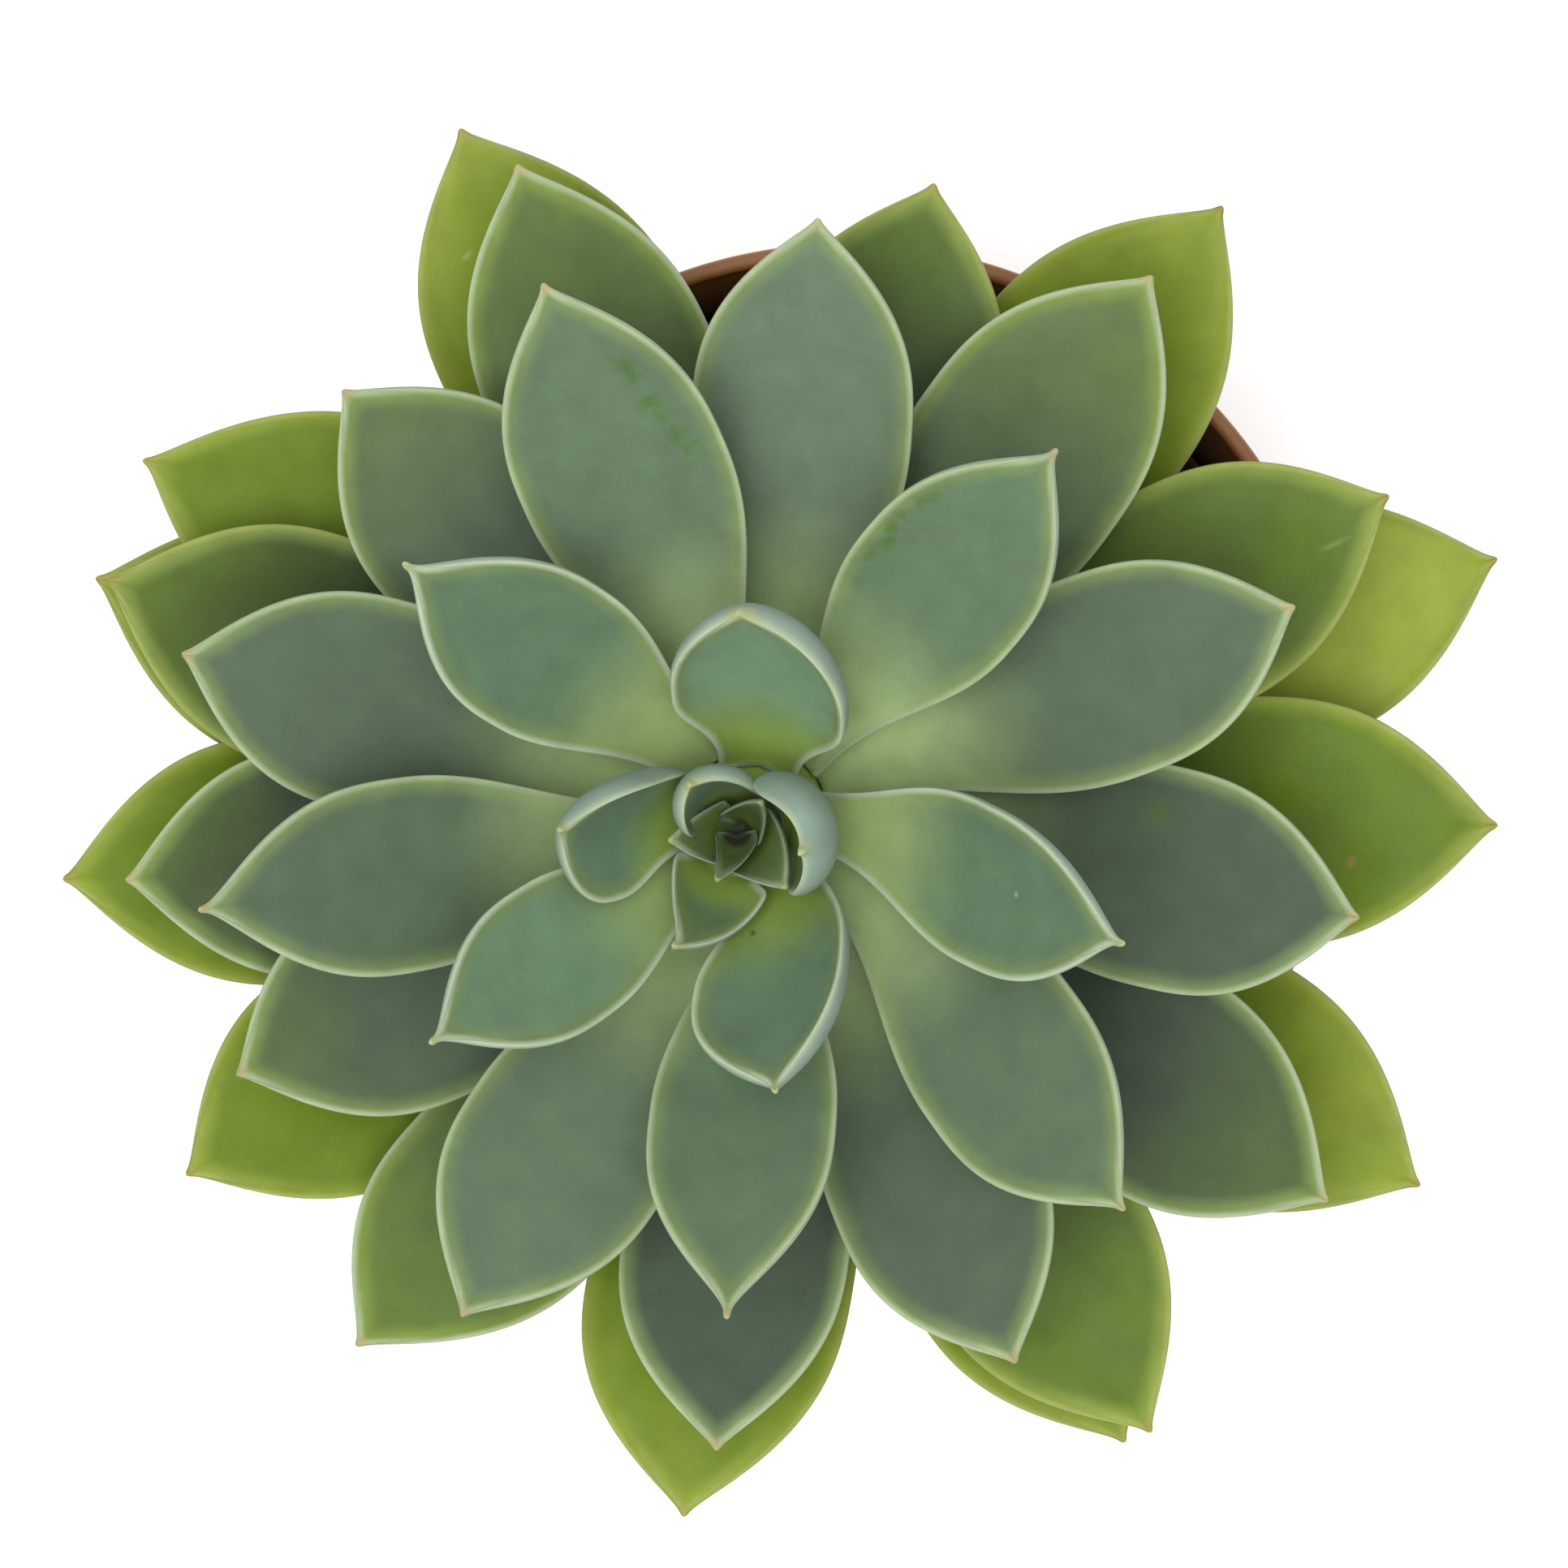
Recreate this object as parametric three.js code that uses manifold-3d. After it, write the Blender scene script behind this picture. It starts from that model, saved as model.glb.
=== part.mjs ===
// A rosette succulent growing in a round nursery pot. Millimetres, +Z up.
// The origin is the middle of the pot's flat base. The leaves stand on one spiral, and every leaf has its
// own length, turn and tilt on it.
import * as THREE from 'three';
import { mergeVertices } from 'three/addons/utils/BufferGeometryUtils.js';
import Module from 'manifold-3d';

const wasm = await Module();
wasm.setup();

// ---------------------------------------------------------------- driving sizes

const GAP = 0.3; // between pieces that rest on each other
const DEG = Math.PI / 180;
const UP = new THREE.Vector3(0, 0, 1);

// The pot
const POT_HEIGHT = 80;
const RIM_RADIUS = 45;
const BASE_RADIUS = 31.5;
const WALL = 1.2;
const FLOOR = 1.8;
const COLLAR_HEIGHT = 14; // the wider band below the rim, which stacked pots rest on
const COLLAR_STEP = 1.1;
const LIP_WIDTH = 1.5;
const LIP_HEIGHT = 2;
const LIP_EDGE = 0.4; // chamfers
const LIP_OVERHANG = 0.5;
const FOOT_EDGE = 1;
const POT_SIDES = 48;
const DRAIN_HOLES = 6;
const DRAIN_RADIUS = 4;
const DRAIN_CIRCLE = 20;
const DRAIN_SIDES = 16;

// The soil
const SOIL_TOP = 68;
const SOIL_RELIEF = 0.9;
const SOIL_EDGE_GAP = 1;
const SOIL_RINGS = 6;
const SWELL = [0.31, 0.27, 0.6]; // radians a millimetre along X and along Y, and a phase
const RIPPLE = [0.4, 0.7, 0];
const STEM_DEPTH = 18; // how deep the stem stands in the soil
const STEM_HOLE = 6.95; // radius

// The stem
const PLANT_X = -7; // the plant grows a little off the middle of its pot
const PLANT_Y = -5;
const STEM_RADIUS = 6.5;
const STEM_SIDES = 24;
const STEM_NECK = 4; // where it starts to narrow, below the lowest leaf
const STEM_HEAD = 1.2; // how far its top lies below the first free leaf
const LEAN = new THREE.Vector3(-0.9, -1.1, 0); // the growing tip leans off the stem's axis
const LEANING_LEAVES = [12, 6]; // between whose heights it bends over
const HEART_SIDES = 12;

// The spiral of the leaves, counted from the heart outwards
const LEAF_COUNT = 48;
const LOST_LEAF = 45; // dropped off, as old leaves do
const HEART_LEAVES = 5; // fused with the growing tip
const HEART_SUNK = 0.5; // how far their bases reach into it
const FIRST_AZIMUTH = 273;
const SPIRAL_STEP = (360 * 5) / 13;
const LOWEST_LEAF_Z = 82.5;
const LEAF_PITCH = 0.62;

// How far each tip stands from the stem's axis, innermost leaf first
const REACH = [
  4, 3.4, 5.5, 6, 5.5, 10.4, 5.7, 14.3,
  21, 17.9, 29.9, 32.6, 34.6, 39.5, 40.4, 44.6,
  44.4, 47.4, 47, 49, 49, 50.5, 50.7, 48.5,
  52, 50, 54, 57, 54, 59, 59, 57.5,
  60.7, 59.5, 63.5, 56.3, 59.3, 64, 62, 62.5,
  66, 61.8, 66.5, 65, 64, 68, 62.5, 65,
];

// How many degrees each leaf turns sideways off the spiral on its way out
const TURN = [
  -25, 0, -5, -14, 24, 5.5, -20, 16,
  -21, 1.6, -3, -11.8, 6.5, -4, -1.4, -1.4,
  -13, 3, -5, -2, 1, -4, 4, -11,
  -5, -1, -6, 2, -4, -2, 3, -9,
  3, -2, 2, -5, -5, 3, 12, -9,
  1, -4, 2, 7, 0, -5, -1, -1,
];

// Degrees that some young leaves roll on their own length, and the bend of those round the heart
const ROLL = { 6: -5, 7: 18, 8: -30, 9: 12, 10: -3, 12: 12 };
const SET_BEND = { 5: 46, 7: 48, 8: 24, 10: 30 };

// Leaves that are set by their length, and degrees that some of the others lift more or less
const YOUNG_LEAVES = 7;
const LIFTED_MORE = { 8: -4, 9: -4, 10: 3, 11: -2, 39: -2 };

// Degrees that some tips turn further than the rest of their leaf
const HOOK = { 6: -10, 7: -16, 10: 9, 32: -3, 39: 4 };

// Leaves that are broader than their age gives
const WIDER = {
  1: 1.5, 2: 1.2, 3: 1.25, 4: 1.15, 5: 1.15, 6: 1.06, 7: 1.22, 8: 1.15, 9: 1.26, 10: 1.3,
  14: 1.05, 18: 1.03, 19: 1.06, 36: 1.03, 38: 1.05, 40: 1.1, 41: 1.04, 42: 1.03, 43: 1.03, 44: 1.06, 46: 1.04,
};

// How far the leaves of the heart are thin triangles, and not broad in the middle
const TRIANGULAR = { 1: 1, 2: 1, 3: 1, 4: 1, 5: 0.2, 6: 0.75, 7: 0.3 };

// Leaves whose tips are blunter than their age gives
const BLUNTER = { 8: 0.3, 10: 0.8 };

// Colours
const POT_BROWN = 0x6e4122;
const SOIL_BLACK = 0x241b16;
const STEM_OLIVE = 0x7c7a45;
const HEART_GREEN = 0x7f9a72;
const YOUNG_GREEN = 0x7a9a84;
const OLD_GREEN = 0x84a24a;
const GREENING_AGE = [26, 42]; // the leaves over which the bloom wears off

// One leaf
const BROADEST_HALF = 11.2; // half the width that the oldest leaves come near
const TIP_HALF_WIDTH = 0.35;
const TIP_THICKNESS = 0.8;
const TOP_BULGE = 0.18; // part of the thickness that lies above the middle surface
const WRAP_SLACK = 3; // keeps the bases from closing right round the stem
const LEAF_SIDES = 10;
const STATIONS = [0, 0.1, 0.24, 0.4, 0.55, 0.68, 0.79, 0.88, 0.95, 1];

// ---------------------------------------------------------------- how a leaf changes with its age

// 1 at one leaf of the spiral, and less by a factor e for each span of leaves outwards.
const fading = (n, from, span) => Math.exp(-(n - from) / span);

// 0 up to one leaf of the spiral, and 1 from another one on.
const aging = (n, from, to) => THREE.MathUtils.smoothstep(n, from, to);

const leafAzimuth = (n) => (FIRST_AZIMUTH + (n - 1) * SPIRAL_STEP) * DEG;
const leafHeight = (n) => LOWEST_LEAF_Z + LEAF_PITCH * (LEAF_COUNT - n);
const triangular = (n) => TRIANGULAR[n] ?? 0;
const leafHalfWidth = (n) => BROADEST_HALF * (1 - fading(n, -0.6, 12)) * (WIDER[n] ?? 1);
const baseWidth = (n) => 0.26 + 0.6 * Math.exp(-((n / 9) ** 2)); // part of the greatest width
const widestAt = (n) => 0.5 + 0.14 * aging(n, 6, 24) - 0.3 * triangular(n); // part of the length
const shoulder = (n) => 3 - 1.9 * triangular(n); // the power that fills the outline beyond its widest place
const blunter = (n) => 0.9 * triangular(n) + (BLUNTER[n] ?? 0);
const pointedness = (n) => 2 - 0.7 * aging(n, 12, 20) - blunter(n); // 1 is round, and 2 ends in a hollow point
const leafThickness = (n) => (0.42 - 0.14 * triangular(n)) * leafHalfWidth(n);
const leafCup = (n) => 0.1 + 0.25 * fading(n, 1, 8); // depth, as part of the half width
const leafBend = (n) => (SET_BEND[n] ?? 10 + 40 * fading(n, 1, 9)) * DEG;
const outerLift = (n) => (5 + 0.12 * (LEAF_COUNT - n) + 62 * fading(n, 6, 11)) * DEG;
const youngLength = (n) => 5 + 0.028 * n ** 3;
const stemRadiusAt = (n) => Math.min(STEM_RADIUS - 0.5, 0.9 * n ** 0.7);

// How far the plant stands off its stem's axis at height z.
function leanAt(z) {
  const share = THREE.MathUtils.smoothstep(z, ...LEANING_LEAVES.map(leafHeight));
  return LEAN.clone().multiplyScalar(share);
}

// The leaf's middle line. A young leaf has a set length and leans out as far as its reach needs. An older one
// has a set lift above the horizontal and is as long as its reach needs.
function leafLine(n) {
  const bend = leafBend(n);
  const chord = Math.sin(bend / 2) / (bend / 2);
  const span = (start) => REACH[n - 1] - start;
  let lift = outerLift(n) + (LIFTED_MORE[n] ?? 0) * DEG;
  const seat = n <= HEART_LEAVES ? -HEART_SUNK : GAP + baseRise(n) * Math.sin(lift - bend / 2);
  const start = stemRadiusAt(n) + seat;
  let length = span(start) / (chord * Math.cos(lift));
  if (n <= YOUNG_LEAVES) {
    length = youngLength(n);
    lift = Math.acos(span(start) / (chord * length));
  }
  return { start, length, first: lift - bend / 2, bend };
}

// Half the width of a leaf, as part of its greatest half width, at s from 0 (stem) to 1 (tip).
function outline(n, s) {
  const widest = widestAt(n);
  if (s < widest) return baseWidth(n) + (1 - baseWidth(n)) * Math.sin(((Math.PI / 2) * s) / widest) ** 2;
  return (1 - ((s - widest) / (1 - widest)) ** shoulder(n)) ** pointedness(n);
}

// The thickness at s, as part of the greatest thickness: fleshy in the middle, thinner at both ends.
function fullness(n, s) {
  const widest = widestAt(n);
  return s < widest ? 0.5 + 0.5 * Math.sin(((Math.PI / 2) * s) / widest) ** 2 : outline(n, s) ** 0.6;
}

// How far the leaf's base rises above its middle line, towards the stem.
function baseRise(n) {
  return baseWidth(n) * leafHalfWidth(n) * leafCup(n) + 0.5 * leafThickness(n) * TOP_BULGE;
}

// One ring of points round the leaf at s. The middle line is an arc in the upright plane through the stem's
// axis. Widths wrap round that axis, so bases clasp the stem. The top is cupped and the underside is keeled.
function leafRing(n, s) {
  const { start, length, first, bend } = leafLine(n);
  const slope = first + bend * s;
  const reach = start + (length / bend) * (Math.sin(slope) - Math.sin(first));
  const height = leafHeight(n) + (length / bend) * (Math.cos(first) - Math.cos(slope));
  const halfWidth = Math.max(TIP_HALF_WIDTH, leafHalfWidth(n) * outline(n, s));
  const thickness = Math.max(TIP_THICKNESS, leafThickness(n) * fullness(n, s));
  const cup = leafCup(n) * halfWidth;
  const onItsWay = Math.sin((Math.PI / 2) * s);
  const azimuth = leafAzimuth(n) + (TURN[n - 1] * onItsWay + (HOOK[n] ?? 0) * s ** 4) * DEG;
  const roll = (ROLL[n] ?? 0) * DEG * onItsWay;
  const slack = WRAP_SLACK * (1 - s) ** 2;
  const ring = [];
  for (let j = 0; j < LEAF_SIDES; j++) {
    const across = Math.cos((2 * Math.PI * j) / LEAF_SIDES);
    const around = Math.sin((2 * Math.PI * j) / LEAF_SIDES);
    const body = around > 0 ? TOP_BULGE * Math.sqrt(around) : (1 - TOP_BULGE) * around;
    const flatRise = cup * across * across + thickness * body;
    const rise = flatRise * Math.cos(roll) + halfWidth * across * Math.sin(roll);
    const aside = halfWidth * across * Math.cos(roll) - flatRise * Math.sin(roll);
    const wrap = aside / (reach + slack);
    const radius = reach + slack - rise * Math.sin(slope);
    const level = height + rise * Math.cos(slope);
    const point = new THREE.Vector3(radius * Math.cos(wrap) - slack, radius * Math.sin(wrap), level);
    ring.push(point.applyAxisAngle(UP, azimuth).add(leanAt(leafHeight(n))));
  }
  return ring;
}

// ---------------------------------------------------------------- making solids

// A closed body through rings of points, all with the same even number of points. Its ends are flat strips.
function loft(rings) {
  const sides = rings[0].length;
  const last = (rings.length - 1) * sides;
  const index = [];
  for (let start = 0; start < last; start += sides) {
    for (let j = 0; j < sides; j++) {
      const a = start + j;
      const b = start + ((j + 1) % sides);
      index.push(a, b, b + sides, a, b + sides, a + sides);
    }
  }
  for (let j = 0; j < sides / 2; j++) {
    const k = (sides - j) % sides;
    for (const [a, b, c] of [[k, j + 1, sides - j - 1], [k, j, j + 1]]) {
      if (a === b || b === c || a === c) continue;
      index.push(a, c, b, last + a, last + b, last + c);
    }
  }
  const geometry = new THREE.BufferGeometry();
  const positions = rings.flat().flatMap((point) => point.toArray());
  geometry.setAttribute('position', new THREE.Float32BufferAttribute(positions, 3));
  geometry.setIndex(index);
  return geometry;
}

// A round body from its half outline, given as [radius, height] points from the axis back to the axis.
function turned(outlinePoints, sides) {
  const points = outlinePoints.map(([radius, height]) => new THREE.Vector2(radius, height));
  return new THREE.LatheGeometry(points, sides).rotateX(Math.PI / 2);
}

// Bends an upright body over with its height.
function leaning(geometry) {
  const position = geometry.attributes.position;
  const point = new THREE.Vector3();
  for (let i = 0; i < position.count; i++) {
    point.fromBufferAttribute(position, i);
    position.setXYZ(i, ...point.add(leanAt(point.z)));
  }
  return geometry;
}

function cylinder(radius, bottom, top, x, y, sides) {
  const geometry = new THREE.CylinderGeometry(radius, radius, top - bottom, sides).rotateX(Math.PI / 2);
  return geometry.translate(x, y, (bottom + top) / 2);
}

function toSolid(geometry) {
  const bare = geometry.clone();
  bare.deleteAttribute('normal');
  bare.deleteAttribute('uv');
  const merged = mergeVertices(bare);
  const vertProperties = new Float32Array(merged.attributes.position.array);
  const triVerts = new Uint32Array(merged.index.array);
  return new wasm.Manifold(new wasm.Mesh({ numProp: 3, vertProperties, triVerts }));
}

function toGeometry(solid) {
  const { vertProperties, triVerts } = solid.getMesh();
  const geometry = new THREE.BufferGeometry();
  geometry.setAttribute('position', new THREE.BufferAttribute(vertProperties, 3));
  geometry.setIndex(new THREE.BufferAttribute(triVerts, 1));
  return geometry;
}

function named(name, geometry, color, roughness) {
  geometry.computeVertexNormals();
  const mesh = new THREE.Mesh(geometry, new THREE.MeshStandardMaterial({ color, roughness, metalness: 0 }));
  mesh.name = name;
  return mesh;
}

// ---------------------------------------------------------------- the pot

const COLLAR_Z = POT_HEIGHT - COLLAR_HEIGHT;
const LIP_Z = POT_HEIGHT - LIP_HEIGHT;
const WALL_TOP_RADIUS = RIM_RADIUS - COLLAR_STEP - 1; // where the wall's line reaches the rim's height
const wallSlope = (WALL_TOP_RADIUS - BASE_RADIUS) / POT_HEIGHT;
const outerWall = (z) => BASE_RADIUS + wallSlope * z;
const innerWall = (z) => outerWall(z) - WALL;

function pot() {
  const lipInside = RIM_RADIUS - LIP_WIDTH;
  const profile = [
    [0, 0], [BASE_RADIUS - FOOT_EDGE, 0], [outerWall(FOOT_EDGE), FOOT_EDGE],
    [outerWall(COLLAR_Z - LIP_EDGE), COLLAR_Z - LIP_EDGE], [outerWall(COLLAR_Z) + COLLAR_STEP, COLLAR_Z],
    [RIM_RADIUS - LIP_OVERHANG, LIP_Z - LIP_EDGE], [RIM_RADIUS, LIP_Z],
    [RIM_RADIUS, POT_HEIGHT - LIP_EDGE], [RIM_RADIUS - LIP_EDGE, POT_HEIGHT],
    [lipInside + LIP_EDGE, POT_HEIGHT], [lipInside, POT_HEIGHT - LIP_EDGE], [lipInside, LIP_Z],
    [innerWall(COLLAR_Z) + COLLAR_STEP, COLLAR_Z], [innerWall(COLLAR_Z - WALL), COLLAR_Z - WALL],
    [innerWall(FLOOR), FLOOR], [0, FLOOR],
  ];
  let solid = toSolid(turned(profile, POT_SIDES));
  for (let i = 0; i < DRAIN_HOLES; i++) {
    const angle = (2 * Math.PI * i) / DRAIN_HOLES;
    const x = DRAIN_CIRCLE * Math.cos(angle);
    const y = DRAIN_CIRCLE * Math.sin(angle);
    solid = solid.subtract(toSolid(cylinder(DRAIN_RADIUS, -FLOOR, 2 * FLOOR, x, y, DRAIN_SIDES)));
  }
  return named('pot', toGeometry(solid), POT_BROWN, 0.55);
}

// ---------------------------------------------------------------- the soil

// A long swell with a short ripple across it, so the soil lies uneven.
function relief(x, y) {
  const swell = Math.sin(SWELL[0] * x + SWELL[2]) * Math.cos(SWELL[1] * y);
  const ripple = Math.sin(RIPPLE[0] * x + RIPPLE[1] * y + RIPPLE[2]);
  return SOIL_RELIEF * (swell + 0.5 * ripple);
}

function soil() {
  const edge = innerWall(SOIL_TOP) + COLLAR_STEP - SOIL_EDGE_GAP;
  const profile = [
    [0, FLOOR + GAP], [innerWall(FLOOR) - GAP, FLOOR + GAP],
    [innerWall(COLLAR_Z - WALL) - GAP, COLLAR_Z - WALL],
  ];
  for (let ring = SOIL_RINGS; ring >= 0; ring--) profile.push([(edge * ring) / SOIL_RINGS, SOIL_TOP]);
  const geometry = turned(profile, POT_SIDES);
  const position = geometry.attributes.position;
  for (let i = 0; i < position.count; i++) {
    if (position.getZ(i) === SOIL_TOP) {
      position.setZ(i, SOIL_TOP + relief(position.getX(i), position.getY(i)));
    }
  }
  const holeTop = SOIL_TOP + 2 * SOIL_RELIEF;
  const hole = cylinder(STEM_HOLE, SOIL_TOP - STEM_DEPTH, holeTop, PLANT_X, PLANT_Y, STEM_SIDES);
  return named('soil', toGeometry(toSolid(geometry).subtract(toSolid(hole))), SOIL_BLACK, 0.95);
}

// ---------------------------------------------------------------- the stem and the leaves

const firstFreeLeaf = HEART_LEAVES + 1;
const stemTop = leafHeight(firstFreeLeaf) - STEM_HEAD;

// Thick and bare at the foot, then narrower from the level where the leaves crowd together.
function stem() {
  const foot = SOIL_TOP - STEM_DEPTH + GAP;
  const profile = [
    [0, foot], [STEM_RADIUS, foot], [STEM_RADIUS, LOWEST_LEAF_Z - STEM_NECK],
    [stemRadiusAt(LEAF_COUNT), LOWEST_LEAF_Z - STEM_NECK / 2],
  ];
  for (let n = 15; n > firstFreeLeaf; n -= 3) profile.push([stemRadiusAt(n), leafHeight(n)]);
  profile.push([stemRadiusAt(firstFreeLeaf), stemTop], [0, stemTop]);
  return named('stem', leaning(turned(profile, STEM_SIDES)), STEM_OLIVE, 0.8);
}

const leafSolid = (n) => loft(STATIONS.map((s) => leafRing(n, s)));

// The youngest leaves stand on a small dome, which is the growing tip itself.
function heart() {
  const foot = stemTop + GAP;
  const profile = [[0, foot], [stemRadiusAt(HEART_LEAVES), foot]];
  for (let n = HEART_LEAVES; n > 1; n -= 2) profile.push([stemRadiusAt(n), leafHeight(n)]);
  profile.push([0, leafHeight(1)]);
  let solid = toSolid(leaning(turned(profile, HEART_SIDES)));
  for (let n = 1; n <= HEART_LEAVES; n++) solid = solid.add(toSolid(leafSolid(n)));
  return named('heart', toGeometry(solid), HEART_GREEN, 0.6);
}

function leafColor(n) {
  const bloomLost = aging(n, ...GREENING_AGE);
  return new THREE.Color(YOUNG_GREEN).lerp(new THREE.Color(OLD_GREEN), bloomLost);
}

function leaves() {
  const meshes = [];
  for (let n = firstFreeLeaf; n <= LEAF_COUNT; n++) {
    if (n === LOST_LEAF) continue;
    meshes.push(named('leaf_' + String(n).padStart(2, '0'), leafSolid(n), leafColor(n), 0.6));
  }
  return meshes;
}

// ---------------------------------------------------------------- the whole part

const plant = new THREE.Group();
plant.position.set(PLANT_X, PLANT_Y, 0);
plant.add(stem(), heart(), ...leaves());

const part = new THREE.Group();
part.add(pot(), soil(), plant);

export default part;
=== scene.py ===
"""A rosette succulent growing in a round nursery pot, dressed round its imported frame.

Blender works in metres with +Z up. The sizes in the classes below are millimetres and degrees, as a maker
would write them, and skins are turned into metres when their mesh is made.
"""
import logging
import math
from dataclasses import dataclass
from enum import Enum

import bpy
import numpy as np
from mathutils import Matrix, Vector


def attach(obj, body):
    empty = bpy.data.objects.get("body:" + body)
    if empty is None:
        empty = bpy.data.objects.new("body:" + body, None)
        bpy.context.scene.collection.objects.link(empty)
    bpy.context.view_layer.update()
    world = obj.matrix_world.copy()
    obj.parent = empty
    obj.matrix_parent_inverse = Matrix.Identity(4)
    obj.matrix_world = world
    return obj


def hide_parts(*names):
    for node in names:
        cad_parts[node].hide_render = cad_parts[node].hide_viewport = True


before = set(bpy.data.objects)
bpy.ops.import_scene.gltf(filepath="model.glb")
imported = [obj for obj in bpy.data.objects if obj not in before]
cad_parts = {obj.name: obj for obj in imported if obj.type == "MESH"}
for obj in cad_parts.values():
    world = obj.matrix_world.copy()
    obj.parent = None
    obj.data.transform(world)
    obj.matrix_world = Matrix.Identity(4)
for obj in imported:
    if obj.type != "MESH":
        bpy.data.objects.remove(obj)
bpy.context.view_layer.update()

LOG = logging.getLogger("potted_succulent")
MM = 0.001
GAP = 0.3  # between the solids that rest on each other
SEAT_GAP = 0.06  # between a leaf's finer skin and the stem

Array = np.ndarray
Material = bpy.types.Material
Node = bpy.types.Node
NodeTree = bpy.types.NodeTree
Piece = bpy.types.Object
Socket = bpy.types.NodeSocket
Colour = tuple[float, float, float]
Place = tuple[float, float, float]
Step = tuple[float, float]  # where a soft step from one value to another starts and ends

# ---------------------------------------------------------------- the spiral

PLANT_X, PLANT_Y = -7.0, -5.0  # the plant grows a little off the middle of its pot
LEAF_COUNT = 48  # from the heart outwards
LOST_LEAF = 45  # dropped off, as old leaves do
HEART_LEAVES = 5  # they stand on the growing tip
YOUNG_LEAVES = 7  # they are set by their length
LEAN = (-0.9, -1.1)  # the growing tip leans off the stem's axis
LEANING_LEAVES = (12, 6)  # between whose heights it bends over
FIRST_AZIMUTH = 273.0  # the direction of the innermost leaf
SPIRAL_STEP = 360 * 5 / 13
LOWEST_LEAF_Z = 82.5  # where the outermost leaf sits on the stem
LEAF_PITCH = 0.62  # how much higher each leaf sits than the next one outwards
HEART_SUNK = 0.5  # how far the bases of the heart's leaves reach into the growing tip
LAST_YOUNG, LAST_GROWN = 13, 32  # the last leaves of the first two finishes
STEM_RADIUS = 6.5
STEM_HEAD = 1.2  # how far the stem's top lies below the first leaf that stands free of the heart
BROADEST_HALF = 11.2  # half the width that the oldest leaves come near
TOP_BULGE = 0.18  # part of the thickness that lies above the middle surface
WRAP_SLACK = 3.0  # keeps the bases from closing right round the stem
DEEPEST_SHADE = 0.97  # the painted shade on the axis of the heart
SHADE_FALLS = ((0.8, 1.6, 0.12), (1.6, 6.0, 0.85))  # between which distances from it, and by how much, the painted shade falls

# How far each tip stands from the stem's axis, innermost leaf first
REACH = (
    4, 3.4, 5.5, 6, 5.5, 10.4, 5.7, 14.3,
    21, 17.9, 29.9, 32.6, 34.6, 39.5, 40.4, 44.6,
    44.4, 47.4, 47, 49, 49, 50.5, 50.7, 48.5,
    52, 50, 54, 57, 54, 59, 59, 57.5,
    60.7, 59.5, 63.5, 56.3, 59.3, 64, 62, 62.5,
    66, 61.8, 66.5, 65, 64, 68, 62.5, 65,
)

# How many degrees each leaf turns sideways off the spiral on its way out
TURN = (
    -25, 0, -5, -14, 24, 5.5, -20, 16,
    -21, 1.6, -3, -11.8, 6.5, -4, -1.4, -1.4,
    -13, 3, -5, -2, 1, -4, 4, -11,
    -5, -1, -6, 2, -4, -2, 3, -9,
    3, -2, 2, -5, -5, 3, 12, -9,
    1, -4, 2, 7, 0, -5, -1, -1,
)

# Degrees that some young leaves roll on their own length, and the bend of those round the heart
ROLL = {6: -5, 7: 18, 8: -30, 9: 12, 10: -3, 12: 12}
SET_BEND = {5: 46, 7: 48, 8: 24, 10: 30}

# Degrees that some leaves lift more or less than their age gives, and that some tips turn further sideways
LIFTED_MORE = {8: -4, 9: -4, 10: 3, 11: -2, 12: -0.4, 39: -2}
HOOK = {6: -10, 7: -16, 10: 9, 32: -3, 39: 4}

# Leaves that are broader than their age gives
WIDER = {
    1: 1.5, 2: 1.2, 3: 1.25, 4: 1.15, 5: 1.15, 6: 1.06, 7: 1.22, 8: 1.15, 9: 1.26, 10: 1.3, 14: 1.05,
    18: 1.03, 19: 1.06, 36: 1.03, 38: 1.05, 40: 1.1, 41: 1.04, 42: 1.03, 43: 1.03, 44: 1.06, 46: 1.04,
}

# How far the leaves of the heart are thin triangles, and not broad in the middle
TRIANGULAR = {1: 1, 2: 1, 3: 1, 4: 1, 5: 0.2, 6: 0.75, 7: 0.3}

# Leaves whose tips are blunter than their age gives
BLUNTER = {8: 0.3, 10: 0.8}

# How far the bloom has worn off older leaves and shows lime green (1) or bright yellow green (2), at the
# middle and at the tip
LIME = {
    1: (0.4, 0.25), 2: (0.4, 0.25), 3: (0.35, 0.2), 4: (0.3, 0.15), 6: (0.3, 0.1), 24: (0.05, 0.2),
    26: (0.05, 0.3), 28: (0.2, 0.45), 29: (0.03, 0.3), 30: (0.02, 0.3), 31: (0.3, 0.55), 32: (0.5, 0.7),
    33: (0.65, 0.7), 34: (0.2, 0.6), 35: (0.55, 0.8), 36: (0.05, 0.65), 37: (1.0, 1.1), 38: (0.85, 0.95),
    39: (1.05, 1.1), 40: (1.2, 1.3), 41: (1.25, 1.4), 42: (0.95, 1.1), 43: (1.4, 1.5), 44: (1.35, 1.5),
    46: (1.95, 2.0), 47: (1.1, 1.3), 48: (1.0, 1.2),
}

# Painted light and shade: leaves whose faces are painted lighter where they stand in the light, and darker
# where they lie deep under others
TONE = {
    2: 0.8, 3: 0.8, 4: 0.9, 6: 0.9, 8: 1.1, 9: 1.1, 10: 1.45, 11: 1.33, 14: 1.06, 15: 1.1, 16: 0.88,
    18: 1.1, 19: 1.1, 20: 0.88, 21: 0.88, 22: 0.8, 23: 1.14, 24: 0.76, 25: 0.68, 26: 0.93, 27: 0.6,
    28: 0.95, 29: 0.5, 30: 0.56, 31: 0.85, 32: 0.9, 33: 0.72, 34: 0.36, 35: 0.76, 36: 0.7,
}

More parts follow.
